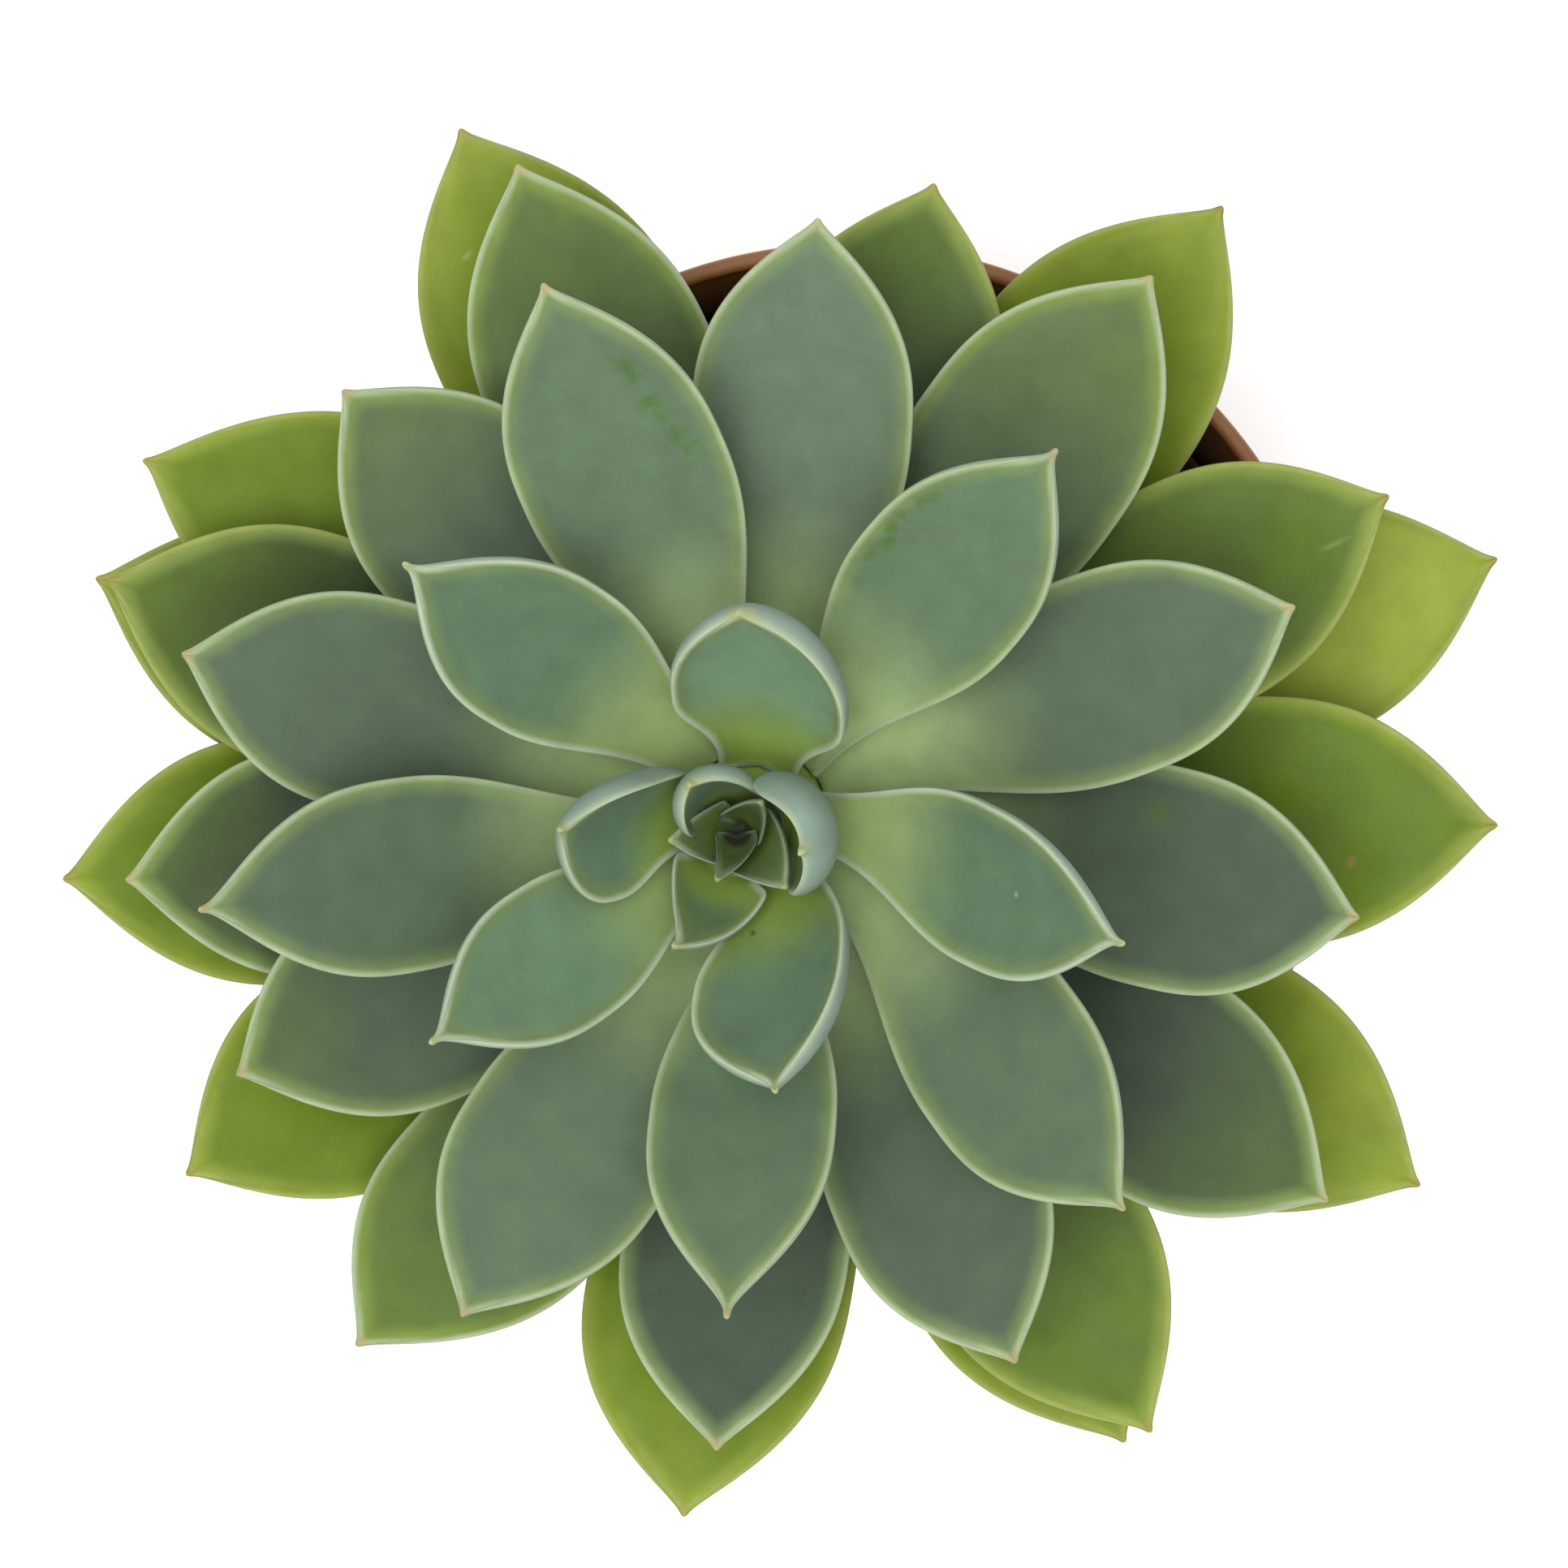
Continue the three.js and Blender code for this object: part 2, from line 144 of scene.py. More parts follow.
# Where the bloom is rubbed off: the middle across (-1 to 1) and along (0 to 1), the two half sizes, how much
RUBBED = {
    15: ((0.75, 0.62, 0.12, 0.16, 0.9),),
    18: ((-0.5, 0.75, 0.1, 0.1, 0.9), (-0.62, 0.62, 0.12, 0.05, 1.0)),
    33: ((-0.55, 0.7, 0.03, 0.07, 0.8), (-0.62, 0.6, 0.05, 0.03, 0.6)),
    25: ((-0.7, 0.35, 0.08, 0.04, 0.8), (0.55, 0.62, 0.12, 0.04, 0.6)),
    44: ((0.5, 0.6, 0.1, 0.03, 0.5),),
}


def smoothstep(value: Array | float, low: float, high: float) -> Array | float:
    """Rises smoothly from 0 at low to 1 at high: 3t^2 - 2t^3."""
    t = np.clip((value - low) / (high - low), 0.0, 1.0)
    return t * t * (3 - 2 * t)


def fading(n: float, start: float, span: float) -> float:
    """Is 1 at one leaf of the spiral, and less by a factor e for each span of leaves outwards."""
    return math.exp(-(n - start) / span)


def lean_at(z: float | Array) -> Array:
    """Says how far the plant stands off the stem's axis at a height, because its growing tip leans."""
    share = smoothstep(z, leaf_height(LEANING_LEAVES[0]), leaf_height(LEANING_LEAVES[1]))
    return np.asarray(share)[..., None] * np.array([*LEAN, 0.0])


def stem_radius_at(n: float) -> float:
    """Gives the stem's radius where leaf n sits on it."""
    return min(STEM_RADIUS - 0.5, 0.9 * n ** 0.7)


def leaf_height(n: float) -> float:
    """Gives the height at which leaf n sits on the stem."""
    return LOWEST_LEAF_Z + LEAF_PITCH * (LEAF_COUNT - n)


# ---------------------------------------------------------------- mesh making

def mesh_object(name: str, points: Array, faces: list[Array], smooth: bool = True) -> Piece:
    """Puts points and faces into a new object at the origin.

    Args:
        name: The piece's name.
        points: An array (n, 3) in millimetres.
        faces: Arrays of vertex numbers, each with faces of one size.
        smooth: Whether the faces are shaded smooth.

    Returns:
        The object, linked to the scene.
    """
    mesh = bpy.data.meshes.new(name)
    corners = np.concatenate([part.ravel() for part in faces]).astype(np.int32)
    sizes = np.concatenate([np.full(len(part), part.shape[1]) for part in faces])
    mesh.vertices.add(len(points))
    mesh.vertices.foreach_set("co", (points * MM).astype(np.float32).ravel())
    mesh.loops.add(len(corners))
    mesh.loops.foreach_set("vertex_index", corners)
    mesh.polygons.add(len(sizes))
    mesh.polygons.foreach_set("loop_start", (np.cumsum(sizes) - sizes).astype(np.int32))
    mesh.polygons.foreach_set("use_smooth", np.full(len(sizes), smooth))
    mesh.update(calc_edges=True)
    mesh.validate()
    piece = bpy.data.objects.new(name, mesh)
    bpy.context.scene.collection.objects.link(piece)
    return piece


def ring_faces(rows: int, columns: int) -> list[Array]:
    """Numbers the faces of a skin of rings, each closed on itself, with a pole at either end.

    Args:
        rows: The number of rings. The poles are the two vertices after them, first ring's pole first.
        columns: The number of points in a ring.

    Returns:
        The quads between the rings and the triangles round the poles, all facing outwards.
    """
    grid = np.arange(rows * columns).reshape(rows, columns)
    turned = np.roll(grid, -1, axis=1)
    quads = np.stack([grid[:-1], turned[:-1], turned[1:], grid[1:]], axis=-1).reshape(-1, 4)
    first, last = rows * columns, rows * columns + 1
    start = np.stack([turned[0], grid[0], np.full(columns, first)], axis=-1)
    end = np.stack([grid[-1], turned[-1], np.full(columns, last)], axis=-1)
    return [quads, np.concatenate([start, end])]


def skin(name: str, rings: Array, start: Array, end: Array) -> Piece:
    """Makes a closed piece from rings of points and its two poles.

    Args:
        name: The piece's name.
        rings: An array (rows, columns, 3) in millimetres.
        start: The pole before the first ring.
        end: The pole after the last ring.

    Returns:
        The object.
    """
    rows, columns, _ = rings.shape
    points = np.concatenate([rings.reshape(-1, 3), [start, end]])
    return mesh_object(name, points, ring_faces(rows, columns))


def set_values(piece: Piece, name: str, values: Array) -> None:
    """Stores one number for each vertex, for a material to read."""
    layer = piece.data.attributes.new(name, "FLOAT", "POINT")
    layer.data.foreach_set("value", np.ascontiguousarray(values, np.float32).ravel())


def stored_places(piece: Piece) -> Array:
    """Reads where a piece's vertices lie.

    Args:
        piece: The piece.

    Returns:
        Their places (n, 3) in millimetres.
    """
    places = np.zeros(3 * len(piece.data.vertices), np.float32)
    piece.data.vertices.foreach_get("co", places)
    return places.reshape(-1, 3) / MM


def set_uv(piece: Piece, uv: Array) -> None:
    """Gives a piece its own UV map.

    Args:
        piece: The piece.
        uv: Each vertex's place on the map (n, 2).
    """
    mesh = piece.data
    corners = np.zeros(len(mesh.loops), np.int32)
    mesh.loops.foreach_get("vertex_index", corners)
    layer = mesh.uv_layers.new(name="UVMap")
    layer.data.foreach_set("uv", np.ascontiguousarray(uv[corners], np.float32).ravel())


def lathe_rings(profile: Array, sides: int) -> Array:
    """Turns a half outline round the Z axis: x = r cos a, y = r sin a.

    Args:
        profile: Points (n, 2) of radius and height.
        sides: The number of steps round the axis.

    Returns:
        The rings (n, sides, 3).
    """
    angle = np.linspace(0, 2 * np.pi, sides, endpoint=False)
    radius, height = profile[:, :1], profile[:, 1:]
    return np.stack([radius * np.cos(angle), radius * np.sin(angle), height + 0 * angle], axis=-1)


def turned(name: str, profile: Array, sides: int, x: float = 0.0, y: float = 0.0) -> Piece:
    """Makes a closed piece by turning a half outline round an upright axis through (x, y).

    Args:
        name: The piece's name.
        profile: Points (n, 2) of radius and height. The first and last lie on the axis.
        sides: The number of steps round the axis.
        x: Where the axis stands.
        y: Where it stands the other way.

    Returns:
        The piece.
    """
    middle = np.array([x, y, 0.0])
    start, end = (middle + np.array([0, 0, z]) for z in profile[[0, -1], 1])
    return skin(name, lathe_rings(profile[1:-1], sides) + middle, start, end)


def cylinder(radius: float, bottom: float, top: float, x: float, y: float) -> Piece:
    """Makes an upright cylinder, whose axis passes through (x, y)."""
    profile = np.array([(0.0, bottom), (radius, bottom), (radius, top), (0.0, top)])
    return turned("cylinder", profile, 48, x, y)


def cut_away(piece: Piece, cutters: list[Piece]) -> None:
    """Cuts other pieces out of a piece.

    Args:
        piece: The piece to cut.
        cutters: The pieces to cut with, which are gone afterwards.
    """
    for cutter in cutters:
        cut = piece.modifiers.new(cutter.name, "BOOLEAN")
        cut.operation, cut.solver, cut.object = "DIFFERENCE", "EXACT", cutter
    evaluated = piece.evaluated_get(bpy.context.evaluated_depsgraph_get())
    finished = bpy.data.meshes.new_from_object(evaluated)
    piece.modifiers.clear()
    piece.data = finished
    for cutter in cutters:
        bpy.data.objects.remove(cutter)


def rounded(corners: list[tuple[float, float, float]], steps: int = 6) -> Array:
    """Draws an outline with its corners rounded by arcs.

    Each inner corner, given as (x, y, cut), becomes a curve that leaves its sides at a and b, as far from it
    as cut says, but no further than 0.45 of the side. The curve's point at t is
    (1-t)^2 a + 2t(1-t) corner + t^2 b.

    Args:
        corners: The corners in order. The first and last stay as they are.
        steps: How many steps a corner takes.

    Returns:
        The outline's points (n, 2).
    """
    t = np.linspace(0, 1, steps + 1)[:, None]
    points = [np.array([corners[0][:2]])]
    for before, here, after in zip(corners, corners[1:], corners[2:]):
        corner = np.array(here[:2])
        towards = [np.array(other[:2]) - corner for other in (before, after)]
        a, b = (corner + side * min(0.45, here[2] / np.linalg.norm(side)) for side in towards)
        points.append((1 - t) ** 2 * a + 2 * t * (1 - t) * corner + t ** 2 * b if here[2] else corner[None])
    return np.concatenate([*points, np.array([corners[-1][:2]])])


# ---------------------------------------------------------------- node wiring

@dataclass
class Wiring:
    """Places and joins the nodes of one node tree."""

    tree: NodeTree

    def node(self, kind: str, plugs: dict | None = None, **settings) -> Node:
        """Adds a node.

        Args:
            kind: The node's type, without its ShaderNode prefix.
            plugs: What each input gets, a value or another node's socket, by the input's name or number.
            **settings: The node's own settings.

        Returns:
            The node.
        """
        prefix = "" if kind.startswith("Node") else "ShaderNode"
        node = self.tree.nodes.new(prefix + kind)
        for key, value in settings.items():
            setattr(node, key, value)
        for key, value in (plugs or {}).items():
            self.plug(node.inputs[key], value)
        return node

    def plug(self, target: Socket, value: Socket | float | tuple) -> None:
        """Fills an input.

        Args:
            target: The input.
            value: A socket to join to it, or the input's own value. A colour may leave out its alpha.
        """
        if isinstance(value, Socket):
            self.tree.links.new(value, target)
        else:
            target.default_value = (*value, 1.0) if target.type == "RGBA" and len(value) == 3 else value

    def math(self, operation: str, a: Socket | float, b: Socket | float = 0.0) -> Socket:
        """Works out one sum of two numbers."""
        return self.node("Math", {0: a, 1: b}, operation=operation).outputs[0]

    def mix(self, share: Socket | float, a: Socket | Colour, b: Socket | Colour) -> Socket:
        """Mixes two colours: share 0 gives a, and 1 gives b. The node's colour sockets are 6, 7 and 2."""
        return self.node("Mix", {0: share, 6: a, 7: b}, data_type="RGBA").outputs[2]

    def step(self, value: Socket, ends: Step, low: float = 0.0, high: float = 1.0) -> Socket:
        """Goes smoothly from low, where value is at the step's first end, to high at its second."""
        plugs = {"Value": value, "From Min": ends[0], "From Max": ends[1], "To Min": low, "To Max": high}
        return self.node("MapRange", plugs, interpolation_type="SMOOTHSTEP").outputs[0]

    def waver(self, value: Socket, pattern: Socket, much: float) -> Socket:
        """Adds to a value a pattern from 0 to 1, moved to lie round 0 and made as strong as much says."""
        return self.math("ADD", value, self.math("MULTIPLY", self.math("SUBTRACT", pattern, 0.5), much))

    def noise(self, place: Socket, size: float, detail: float = 3.0, roughness: float = 0.5) -> Socket:
        """Gives a cloudy pattern from 0 to 1 whose lumps are about size millimetres wide."""
        plugs = {"Vector": place, "Scale": 1 / (size * MM), "Detail": detail, "Roughness": roughness}
        return self.node("TexNoise", plugs).outputs[0]

    def place(self) -> Socket:
        """Gives the point's place on the object, in metres."""
        return self.node("TexCoord").outputs["Object"]

    def stored(self, name: str) -> Socket:
        """Reads a number that the mesh stores for each vertex."""
        return self.node("Attribute", attribute_name=name).outputs["Fac"]


def srgb(red: int, green: int, blue: int) -> Colour:
    """Turns a colour from 0 to 255 into the linear values that the nodes work in.

    A share v of full light becomes ((v + 0.055) / 1.055)^2.4, or v / 12.92 where it is nearly dark.
    """
    shares = (red / 255, green / 255, blue / 255)
    return tuple(v / 12.92 if v < 0.04045 else ((v + 0.055) / 1.055) ** 2.4 for v in shares)


def new_group(name: str, inputs: dict[str, str], outputs: dict[str, str]) -> tuple[Wiring, Node, Node]:
    """Starts a shader node group.

    Args:
        name: The group's name.
        inputs: Its inputs, with a socket kind for each: Float, Color or Vector.
        outputs: Its outputs, given in the same way.

    Returns:
        The group's wiring, its input node and its output node.
    """
    tree = bpy.data.node_groups.new(name, "ShaderNodeTree")
    for sockets, side in ((inputs, "INPUT"), (outputs, "OUTPUT")):
        for label, kind in sockets.items():
            tree.interface.new_socket(label, in_out=side, socket_type="NodeSocket" + kind)
    wiring = Wiring(tree)
    return wiring, wiring.node("NodeGroupInput"), wiring.node("NodeGroupOutput")


def speckle_group() -> NodeTree:
    """Builds the group that varies a colour in soft patches and fine specks, and gives a height for them.

    Returns:
        The group. Its inputs are Color, Patch and Speck, which say how far they vary its lightness, and Patch
        Size and Speck Size in millimetres. Its outputs are Color and Height.
    """
    inputs = {"Color": "Color"} | dict.fromkeys(("Patch", "Speck", "Patch Size", "Speck Size"), "Float")
    w, given, result = new_group("speckle", inputs, {"Color": "Color", "Height": "Float"})
    place = w.place()
    patterns = []
    value = 1.0
    for label in ("Patch", "Speck"):
        scale = w.math("DIVIDE", 1 / MM, given.outputs[label + " Size"])
        pattern = w.node("TexNoise", {"Vector": place, "Scale": scale, "Detail": 4.0}).outputs[0]
        patterns.append(pattern)
        value = w.waver(value, pattern, given.outputs[label])
    toned = w.node("HueSaturation", {"Color": given.outputs["Color"], "Value": value})
    w.plug(result.inputs["Color"], toned.outputs[0])
    w.plug(result.inputs["Height"], w.math("ADD", patterns[1], w.math("MULTIPLY", patterns[0], 0.5)))
    return w.tree


# ---------------------------------------------------------------- finishes

@dataclass(frozen=True)
class Mark:
    """A small blemish on one leaf, a soft oval. Its place, length and width are in millimetres."""

    place: Place
    length: float
    width: float
    turn: float
    colour: Colour
    strength: float
    depth: float = 2.0
    edge: Step = (1.0, 0.2)

    def over(self, w: Wiring, place: Socket, colour: Socket) -> Socket:
        """Lays the mark over a colour.

        Args:
            w: The wiring of the group.
            place: The point's place on the object.
            colour: The colour without the mark.

        Returns:
            The colour with the mark.
        """
        size = (self.length / 2 * MM, self.width / 2 * MM, self.depth * MM)
        plugs = {"Vector": place, "Location": tuple(v * MM for v in self.place),
                 "Rotation": (0.0, 0.0, math.radians(self.turn)), "Scale": size}
        inside = w.node("Mapping", plugs, vector_type="TEXTURE").outputs[0]
        away = w.node("VectorMath", {0: inside}, operation="LENGTH").outputs["Value"]
        return w.mix(w.step(away, self.edge, high=self.strength), colour, srgb(*self.colour))


# A brown spot on leaf 38, a dark one on leaf 9, a pale scratch on leaf 33, pale flecks on leaves 12 and 44
MARKS = (
    Mark((44.5, -9.4, 96.4), 1.5, 1.3, 60, (124, 100, 58), 0.7),
    Mark((-6.6, -14.6, 111.3), 0.7, 0.7, 0, (44, 62, 10), 0.7),
    Mark((42.6, 18.2, 102.6), 4.2, 0.8, 26, (118, 144, 94), 0.3),
    Mark((15.7, -10.6, 121.0), 0.8, 0.5, 90, (140, 160, 132), 0.5),
    Mark((-32.8, 43.4, 91.5), 1.8, 0.9, 40, (136, 150, 96), 0.4),
)


@dataclass(frozen=True)
class LeafSkin:
    """How the zones of a leaf lie: the steps between them, in the units of what the leaf's mesh stores.

    A mesh stores edge, the distance in millimetres inwards from the margin (negative on the back), along,
    from 0 at the stem to 1 at the tip, tip, the distance in millimetres from the tip, age, from 0 to 1, tone,
    a painted light and shade that the face's lightness is multiplied by, lime and rubbed, which say how far
    the bloom has gone, and shade, a painted shade, which is near 1 in the dark middle of the heart.
    """

    cloud_size: float = 9.0
    wave_size: float = 3.0
    unevenness: float = 0.5
    greying: Step = (0.25, 0.6)
    grey_clouds: Step = (0.4, 0.75)
    grey_share: float = 0.35
    wearing: Step = (0.0, 0.2)
    band: Step = (0.4, 2.4)
    line: Step = (0.2, 0.9)
    back: Step = (-0.5, 0.15)
    # The pale zone at a leaf's base is partly its own lime colour and partly painted light, lighter to stand
    # in for the light that shines through the bases round the stem
    base: Step = (0.5, 0.1)
    base_edge: Step = (-2.0, 1.5)
    base_share: float = 0.35
    paler_base: Step = (0.2, 0.24)
    fleck_size: float = 1.6
    flecks: Step = (0.36, 0.66)
    tip: Step = (1.5, 0.2)
    tip_share: float = 0.65
    # Where the heart's painted shade turns from dark green to near black
    hollow: Step = (0.86, 0.96)
    bloomed_roughness: float = 0.62
    worn_roughness: float = 0.46
    patch: float = 0.38
    speck: float = 0.13
    patch_size: float = 3.5
    speck_size: float = 0.45

    def group(self, speckle: NodeTree) -> NodeTree:
        """Builds the group that colours a leaf.

        Args:
            speckle: The group for patches and specks.

        Returns:
            The group, with a colour input for each zone of the leaf, and outputs Color, Roughness and Height.
        """
        outputs = {"Color": "Color", "Roughness": "Float", "Height": "Float"}
        w, given, result = new_group("leaf_skin", dict.fromkeys(LeafFinish().zones(), "Color"), outputs)
        zone = given.outputs
        place = w.place()
        edge, along, tip, lime, age = (w.stored(name) for name in ("edge", "along", "tip", "lime", "age"))
        clouds = w.noise(place, self.cloud_size, 4.0, 0.55)
        wavy = w.waver(edge, w.noise(place, self.wave_size), self.unevenness)
        worn = w.math("MULTIPLY", w.waver(lime, clouds, self.unevenness), w.step(lime, self.wearing))

        face = w.mix(w.step(age, self.greying), zone["Face"], zone["Grey Face"])
        face = w.mix(w.step(clouds, self.grey_clouds, high=self.grey_share), face, zone["Grey Face"])
        # Each leaf's painted light and shade lightens or darkens its face
        face = w.node("HueSaturation", {"Color": face, "Value": w.stored("tone")}).outputs[0]
        face = w.mix(worn, face, zone["Lime Face"])
        face = w.mix(w.math("SUBTRACT", worn, 1.0), face, zone["Bright Face"])
        band = w.mix(worn, zone["Band"], zone["Lime Band"])
        back = w.mix(worn, zone["Back"], zone["Lime Back"])
        top = w.mix(w.step(wavy, self.band), band, face)
        # The base zone: partly the leaf's own colour, partly painted light
        near_middle = w.step(edge, self.base_edge, self.base_share)
        base_share = w.math("MULTIPLY", w.step(along, self.base), near_middle)
        base = w.mix(w.step(age, self.paler_base), zone["Base"], zone["Pale Base"])
        top = w.mix(base_share, top, base)
        flecks = w.step(w.noise(place, self.fleck_size), self.flecks)
        top = w.mix(w.math("MULTIPLY", w.stored("rubbed"), flecks), top, zone["Bare"])
        for mark in MARKS:
            top = mark.over(w, place, top)
        top = w.mix(w.step(edge, self.line), zone["Line"], top)
        body = w.mix(w.step(edge, self.back), back, top)
        body = w.mix(w.step(tip, self.tip, high=self.tip_share), body, zone["Tip"])
        # Painted shade darkens the middle of the heart
        shade = w.stored("shade")
        body = w.mix(shade, body, w.mix(w.step(shade, self.hollow), zone["Deep"], zone["Shade"]))

        plugs = {"Color": body, "Patch": self.patch, "Speck": self.speck, "Patch Size": self.patch_size,
                 "Speck Size": self.speck_size}
        varied = w.node("Group", plugs, node_tree=speckle)
        roughness = w.step(worn, (0.0, 1.0), self.bloomed_roughness, self.worn_roughness)
        w.plug(result.inputs["Color"], varied.outputs["Color"])
        w.plug(result.inputs["Roughness"], roughness)
        w.plug(result.inputs["Height"], varied.outputs["Height"])
        return w.tree


@dataclass(frozen=True)
class LeafFinish:
    """The finish of one age of leaf. Its colours, each from 0 to 255, are those of the leaf's zones."""

    face: Colour = (80, 102, 79)
    grey_face: Colour = (79, 94, 76)
    lime_face: Colour = (80, 102, 12)
    bright_face: Colour = (122, 134, 46)
    band: Colour = (100, 118, 74)
    lime_band: Colour = (104, 122, 30)
    line: Colour = (148, 160, 134)
    back: Colour = (122, 140, 126)
    lime_back: Colour = (94, 112, 40)
    # The base colours are partly the leaves' own lime and partly painted light that stands in for light
    # shining through the bases
    base: Colour = (106, 129, 54)
    pale_base: Colour = (128, 148, 92)
    tip: Colour = (146, 150, 96)
    bare: Colour = (66, 92, 32)
    # The dark green and the near black of the painted shade in the heart
    deep: Colour = (26, 42, 12)
    shade: Colour = (9, 5, 2)
    sheen: float = 0.02

    def zones(self) -> dict[str, Colour]:
        """Lists the colours by the names that the leaf skin group gives its inputs."""
        return {key.replace("_", " ").title(): value for key, value in vars(self).items() if key != "sheen"}

    def material(self, name: str, leaf_skin: NodeTree) -> Material:
        """Builds the material.

        Args:
            name: The record's slot name.
            leaf_skin: The leaf skin group.

        Returns:
            The material.
        """
        material, w, shader = new_material(name)
        plugs = {zone: srgb(*colour) for zone, colour in self.zones().items()}
        leaf = w.node("Group", plugs, node_tree=leaf_skin)
        bump = w.node("Bump", {"Height": leaf.outputs["Height"], "Strength": 0.12, "Distance": 0.15 * MM})
        w.plug(shader.inputs["Base Color"], leaf.outputs["Color"])
        w.plug(shader.inputs["Roughness"], leaf.outputs["Roughness"])
        w.plug(shader.inputs["Normal"], bump.outputs[0])
        plain = {
            "Specular IOR Level": 0.1, "Sheen Weight": self.sheen, "Sheen Roughness": 0.5,
            "Subsurface Weight": 0.12, "Subsurface Radius": (0.6, 1.0, 0.3), "Subsurface Scale": 1.5 * MM,
        }
        for key, value in plain.items():
            shader.inputs[key].default_value = value
        return material


@dataclass(frozen=True)
class GrainFinish:
    """A plain material that varies in patches and specks, and takes another colour where a mesh stores it."""

    colour: Colour
    patch: float
    speck: float
    patch_size: float
    speck_size: float
    roughness: float
    bump: float
    second: Colour | None = None
    heights: Step = (0.3, 1.1)
    roughness_range: float = 0.08

    def material(self, name: str, speckle: NodeTree) -> Material:
        """Builds the material.

        Args:
            name: The record's slot name.
            speckle: The group for patches and specks.

        Returns:
            The material.
        """
        material, w, shader = new_material(name)
        colour = srgb(*self.colour)
        # The other colour is painted shade, near black, on the inside of the pot, and the stem's real fresh
        # green at its top
        if self.second:
            colour = w.mix(w.stored("second"), colour, srgb(*self.second))
        plugs = {"Color": colour, "Patch": self.patch, "Speck": self.speck, "Patch Size": self.patch_size,
                 "Speck Size": self.speck_size}
        varied = w.node("Group", plugs, node_tree=speckle)
        height = varied.outputs["Height"]
        bump = w.node("Bump", {"Height": height, "Strength": 0.6, "Distance": self.bump * MM})
        smoothest, roughest = self.roughness - self.roughness_range, self.roughness + self.roughness_range
        w.plug(shader.inputs["Base Color"], varied.outputs["Color"])
        w.plug(shader.inputs["Roughness"], w.step(height, self.heights, smoothest, roughest))
        w.plug(shader.inputs["Normal"], bump.outputs[0])
        return material


def new_material(name: str) -> tuple[Material, Wiring, Node]:
    """Starts a material.

    Args:
        name: The material's name.

    Returns:
        The material, the wiring of its nodes and its Principled shader.
    """
    material = bpy.data.materials.new(name)
    material.use_nodes = True
    return material, Wiring(material.node_tree), material.node_tree.nodes["Principled BSDF"]


class Slot(Enum):
    """The record's material slots."""

    POT = "pot_plastic"
    SOIL = "peat_soil"
    STEM = "stem_bark"
    YOUNG = "young_leaf"
    GROWN = "grown_leaf"
    OLD = "old_leaf"


class Palette:
    """Every material of the object, one for each slot."""

    def __init__(self) -> None:
        """Builds the node groups and the materials that use them."""
        speckle = speckle_group()
        leaf_skin = LeafSkin().group(speckle)
        leaves = {
            Slot.YOUNG: LeafFinish(),
            Slot.GROWN: LeafFinish(face=(78, 97, 74), line=(136, 148, 116), tip=(154, 136, 96),
                                   pale_base=(140, 162, 108)),
            Slot.OLD: LeafFinish(face=(70, 90, 40), lime_band=(112, 126, 40), line=(124, 133, 70),
                                 back=(90, 110, 56), lime_back=(120, 127, 82), tip=(136, 122, 62),
                                 pale_base=(84, 106, 30), sheen=0.0),
        }
        grains = {
            # The pot's near-black other colour is painted shade over its inside
            Slot.POT: GrainFinish(colour=(130, 82, 37), second=(16, 10, 8), patch=0.25, speck=0.12,
                                  patch_size=14.0, speck_size=0.6, roughness=0.5, bump=0.05),
            Slot.SOIL: GrainFinish(colour=(36, 26, 20), patch=0.9, speck=0.9, patch_size=3.0, speck_size=0.5,
                                   roughness=0.92, bump=0.6),
            Slot.STEM: GrainFinish(colour=(96, 88, 52), second=(112, 134, 48), patch=0.6, speck=0.3,
                                   patch_size=3.0, speck_size=0.4, roughness=0.8, bump=0.2),
        }
        self.materials = {slot: finish.material(slot.value, leaf_skin) for slot, finish in leaves.items()}
        self.materials |= {slot: finish.material(slot.value, speckle) for slot, finish in grains.items()}

    def dress(self, piece: Piece, slot: Slot, *nodes: str) -> None:
        """Gives a piece its material, slot and body, and lets it stand for CAD nodes.

        Args:
            piece: The piece.
            slot: Its material slot.
            *nodes: The CAD nodes whose place it takes.
        """
        piece.data.materials.append(self.materials[slot])
        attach(piece, "root")
        if nodes:
            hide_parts(*nodes)
        LOG.info("%s: %d faces, %s", piece.name, len(piece.data.polygons), slot.value)


# ---------------------------------------------------------------- leaves

def heart_shade(piece: Piece) -> Array:
    """Says how much painted shade darkens the space between the youngest leaves.

    The painted shade is deepest on the leaning axis and falls off in two smooth steps with the distance from
    it.

    Args:
        piece: A piece of the heart.

    Returns:
        The painted shade at each of its vertices.
    """
    x, y, _ = stored_places(piece).T
    away = np.hypot(x - PLANT_X - LEAN[0], y - PLANT_Y - LEAN[1])
    shade = DEEPEST_SHADE
    for start, end, fall in SHADE_FALLS:
        shade = shade - fall * smoothstep(away, start, end)
    return shade


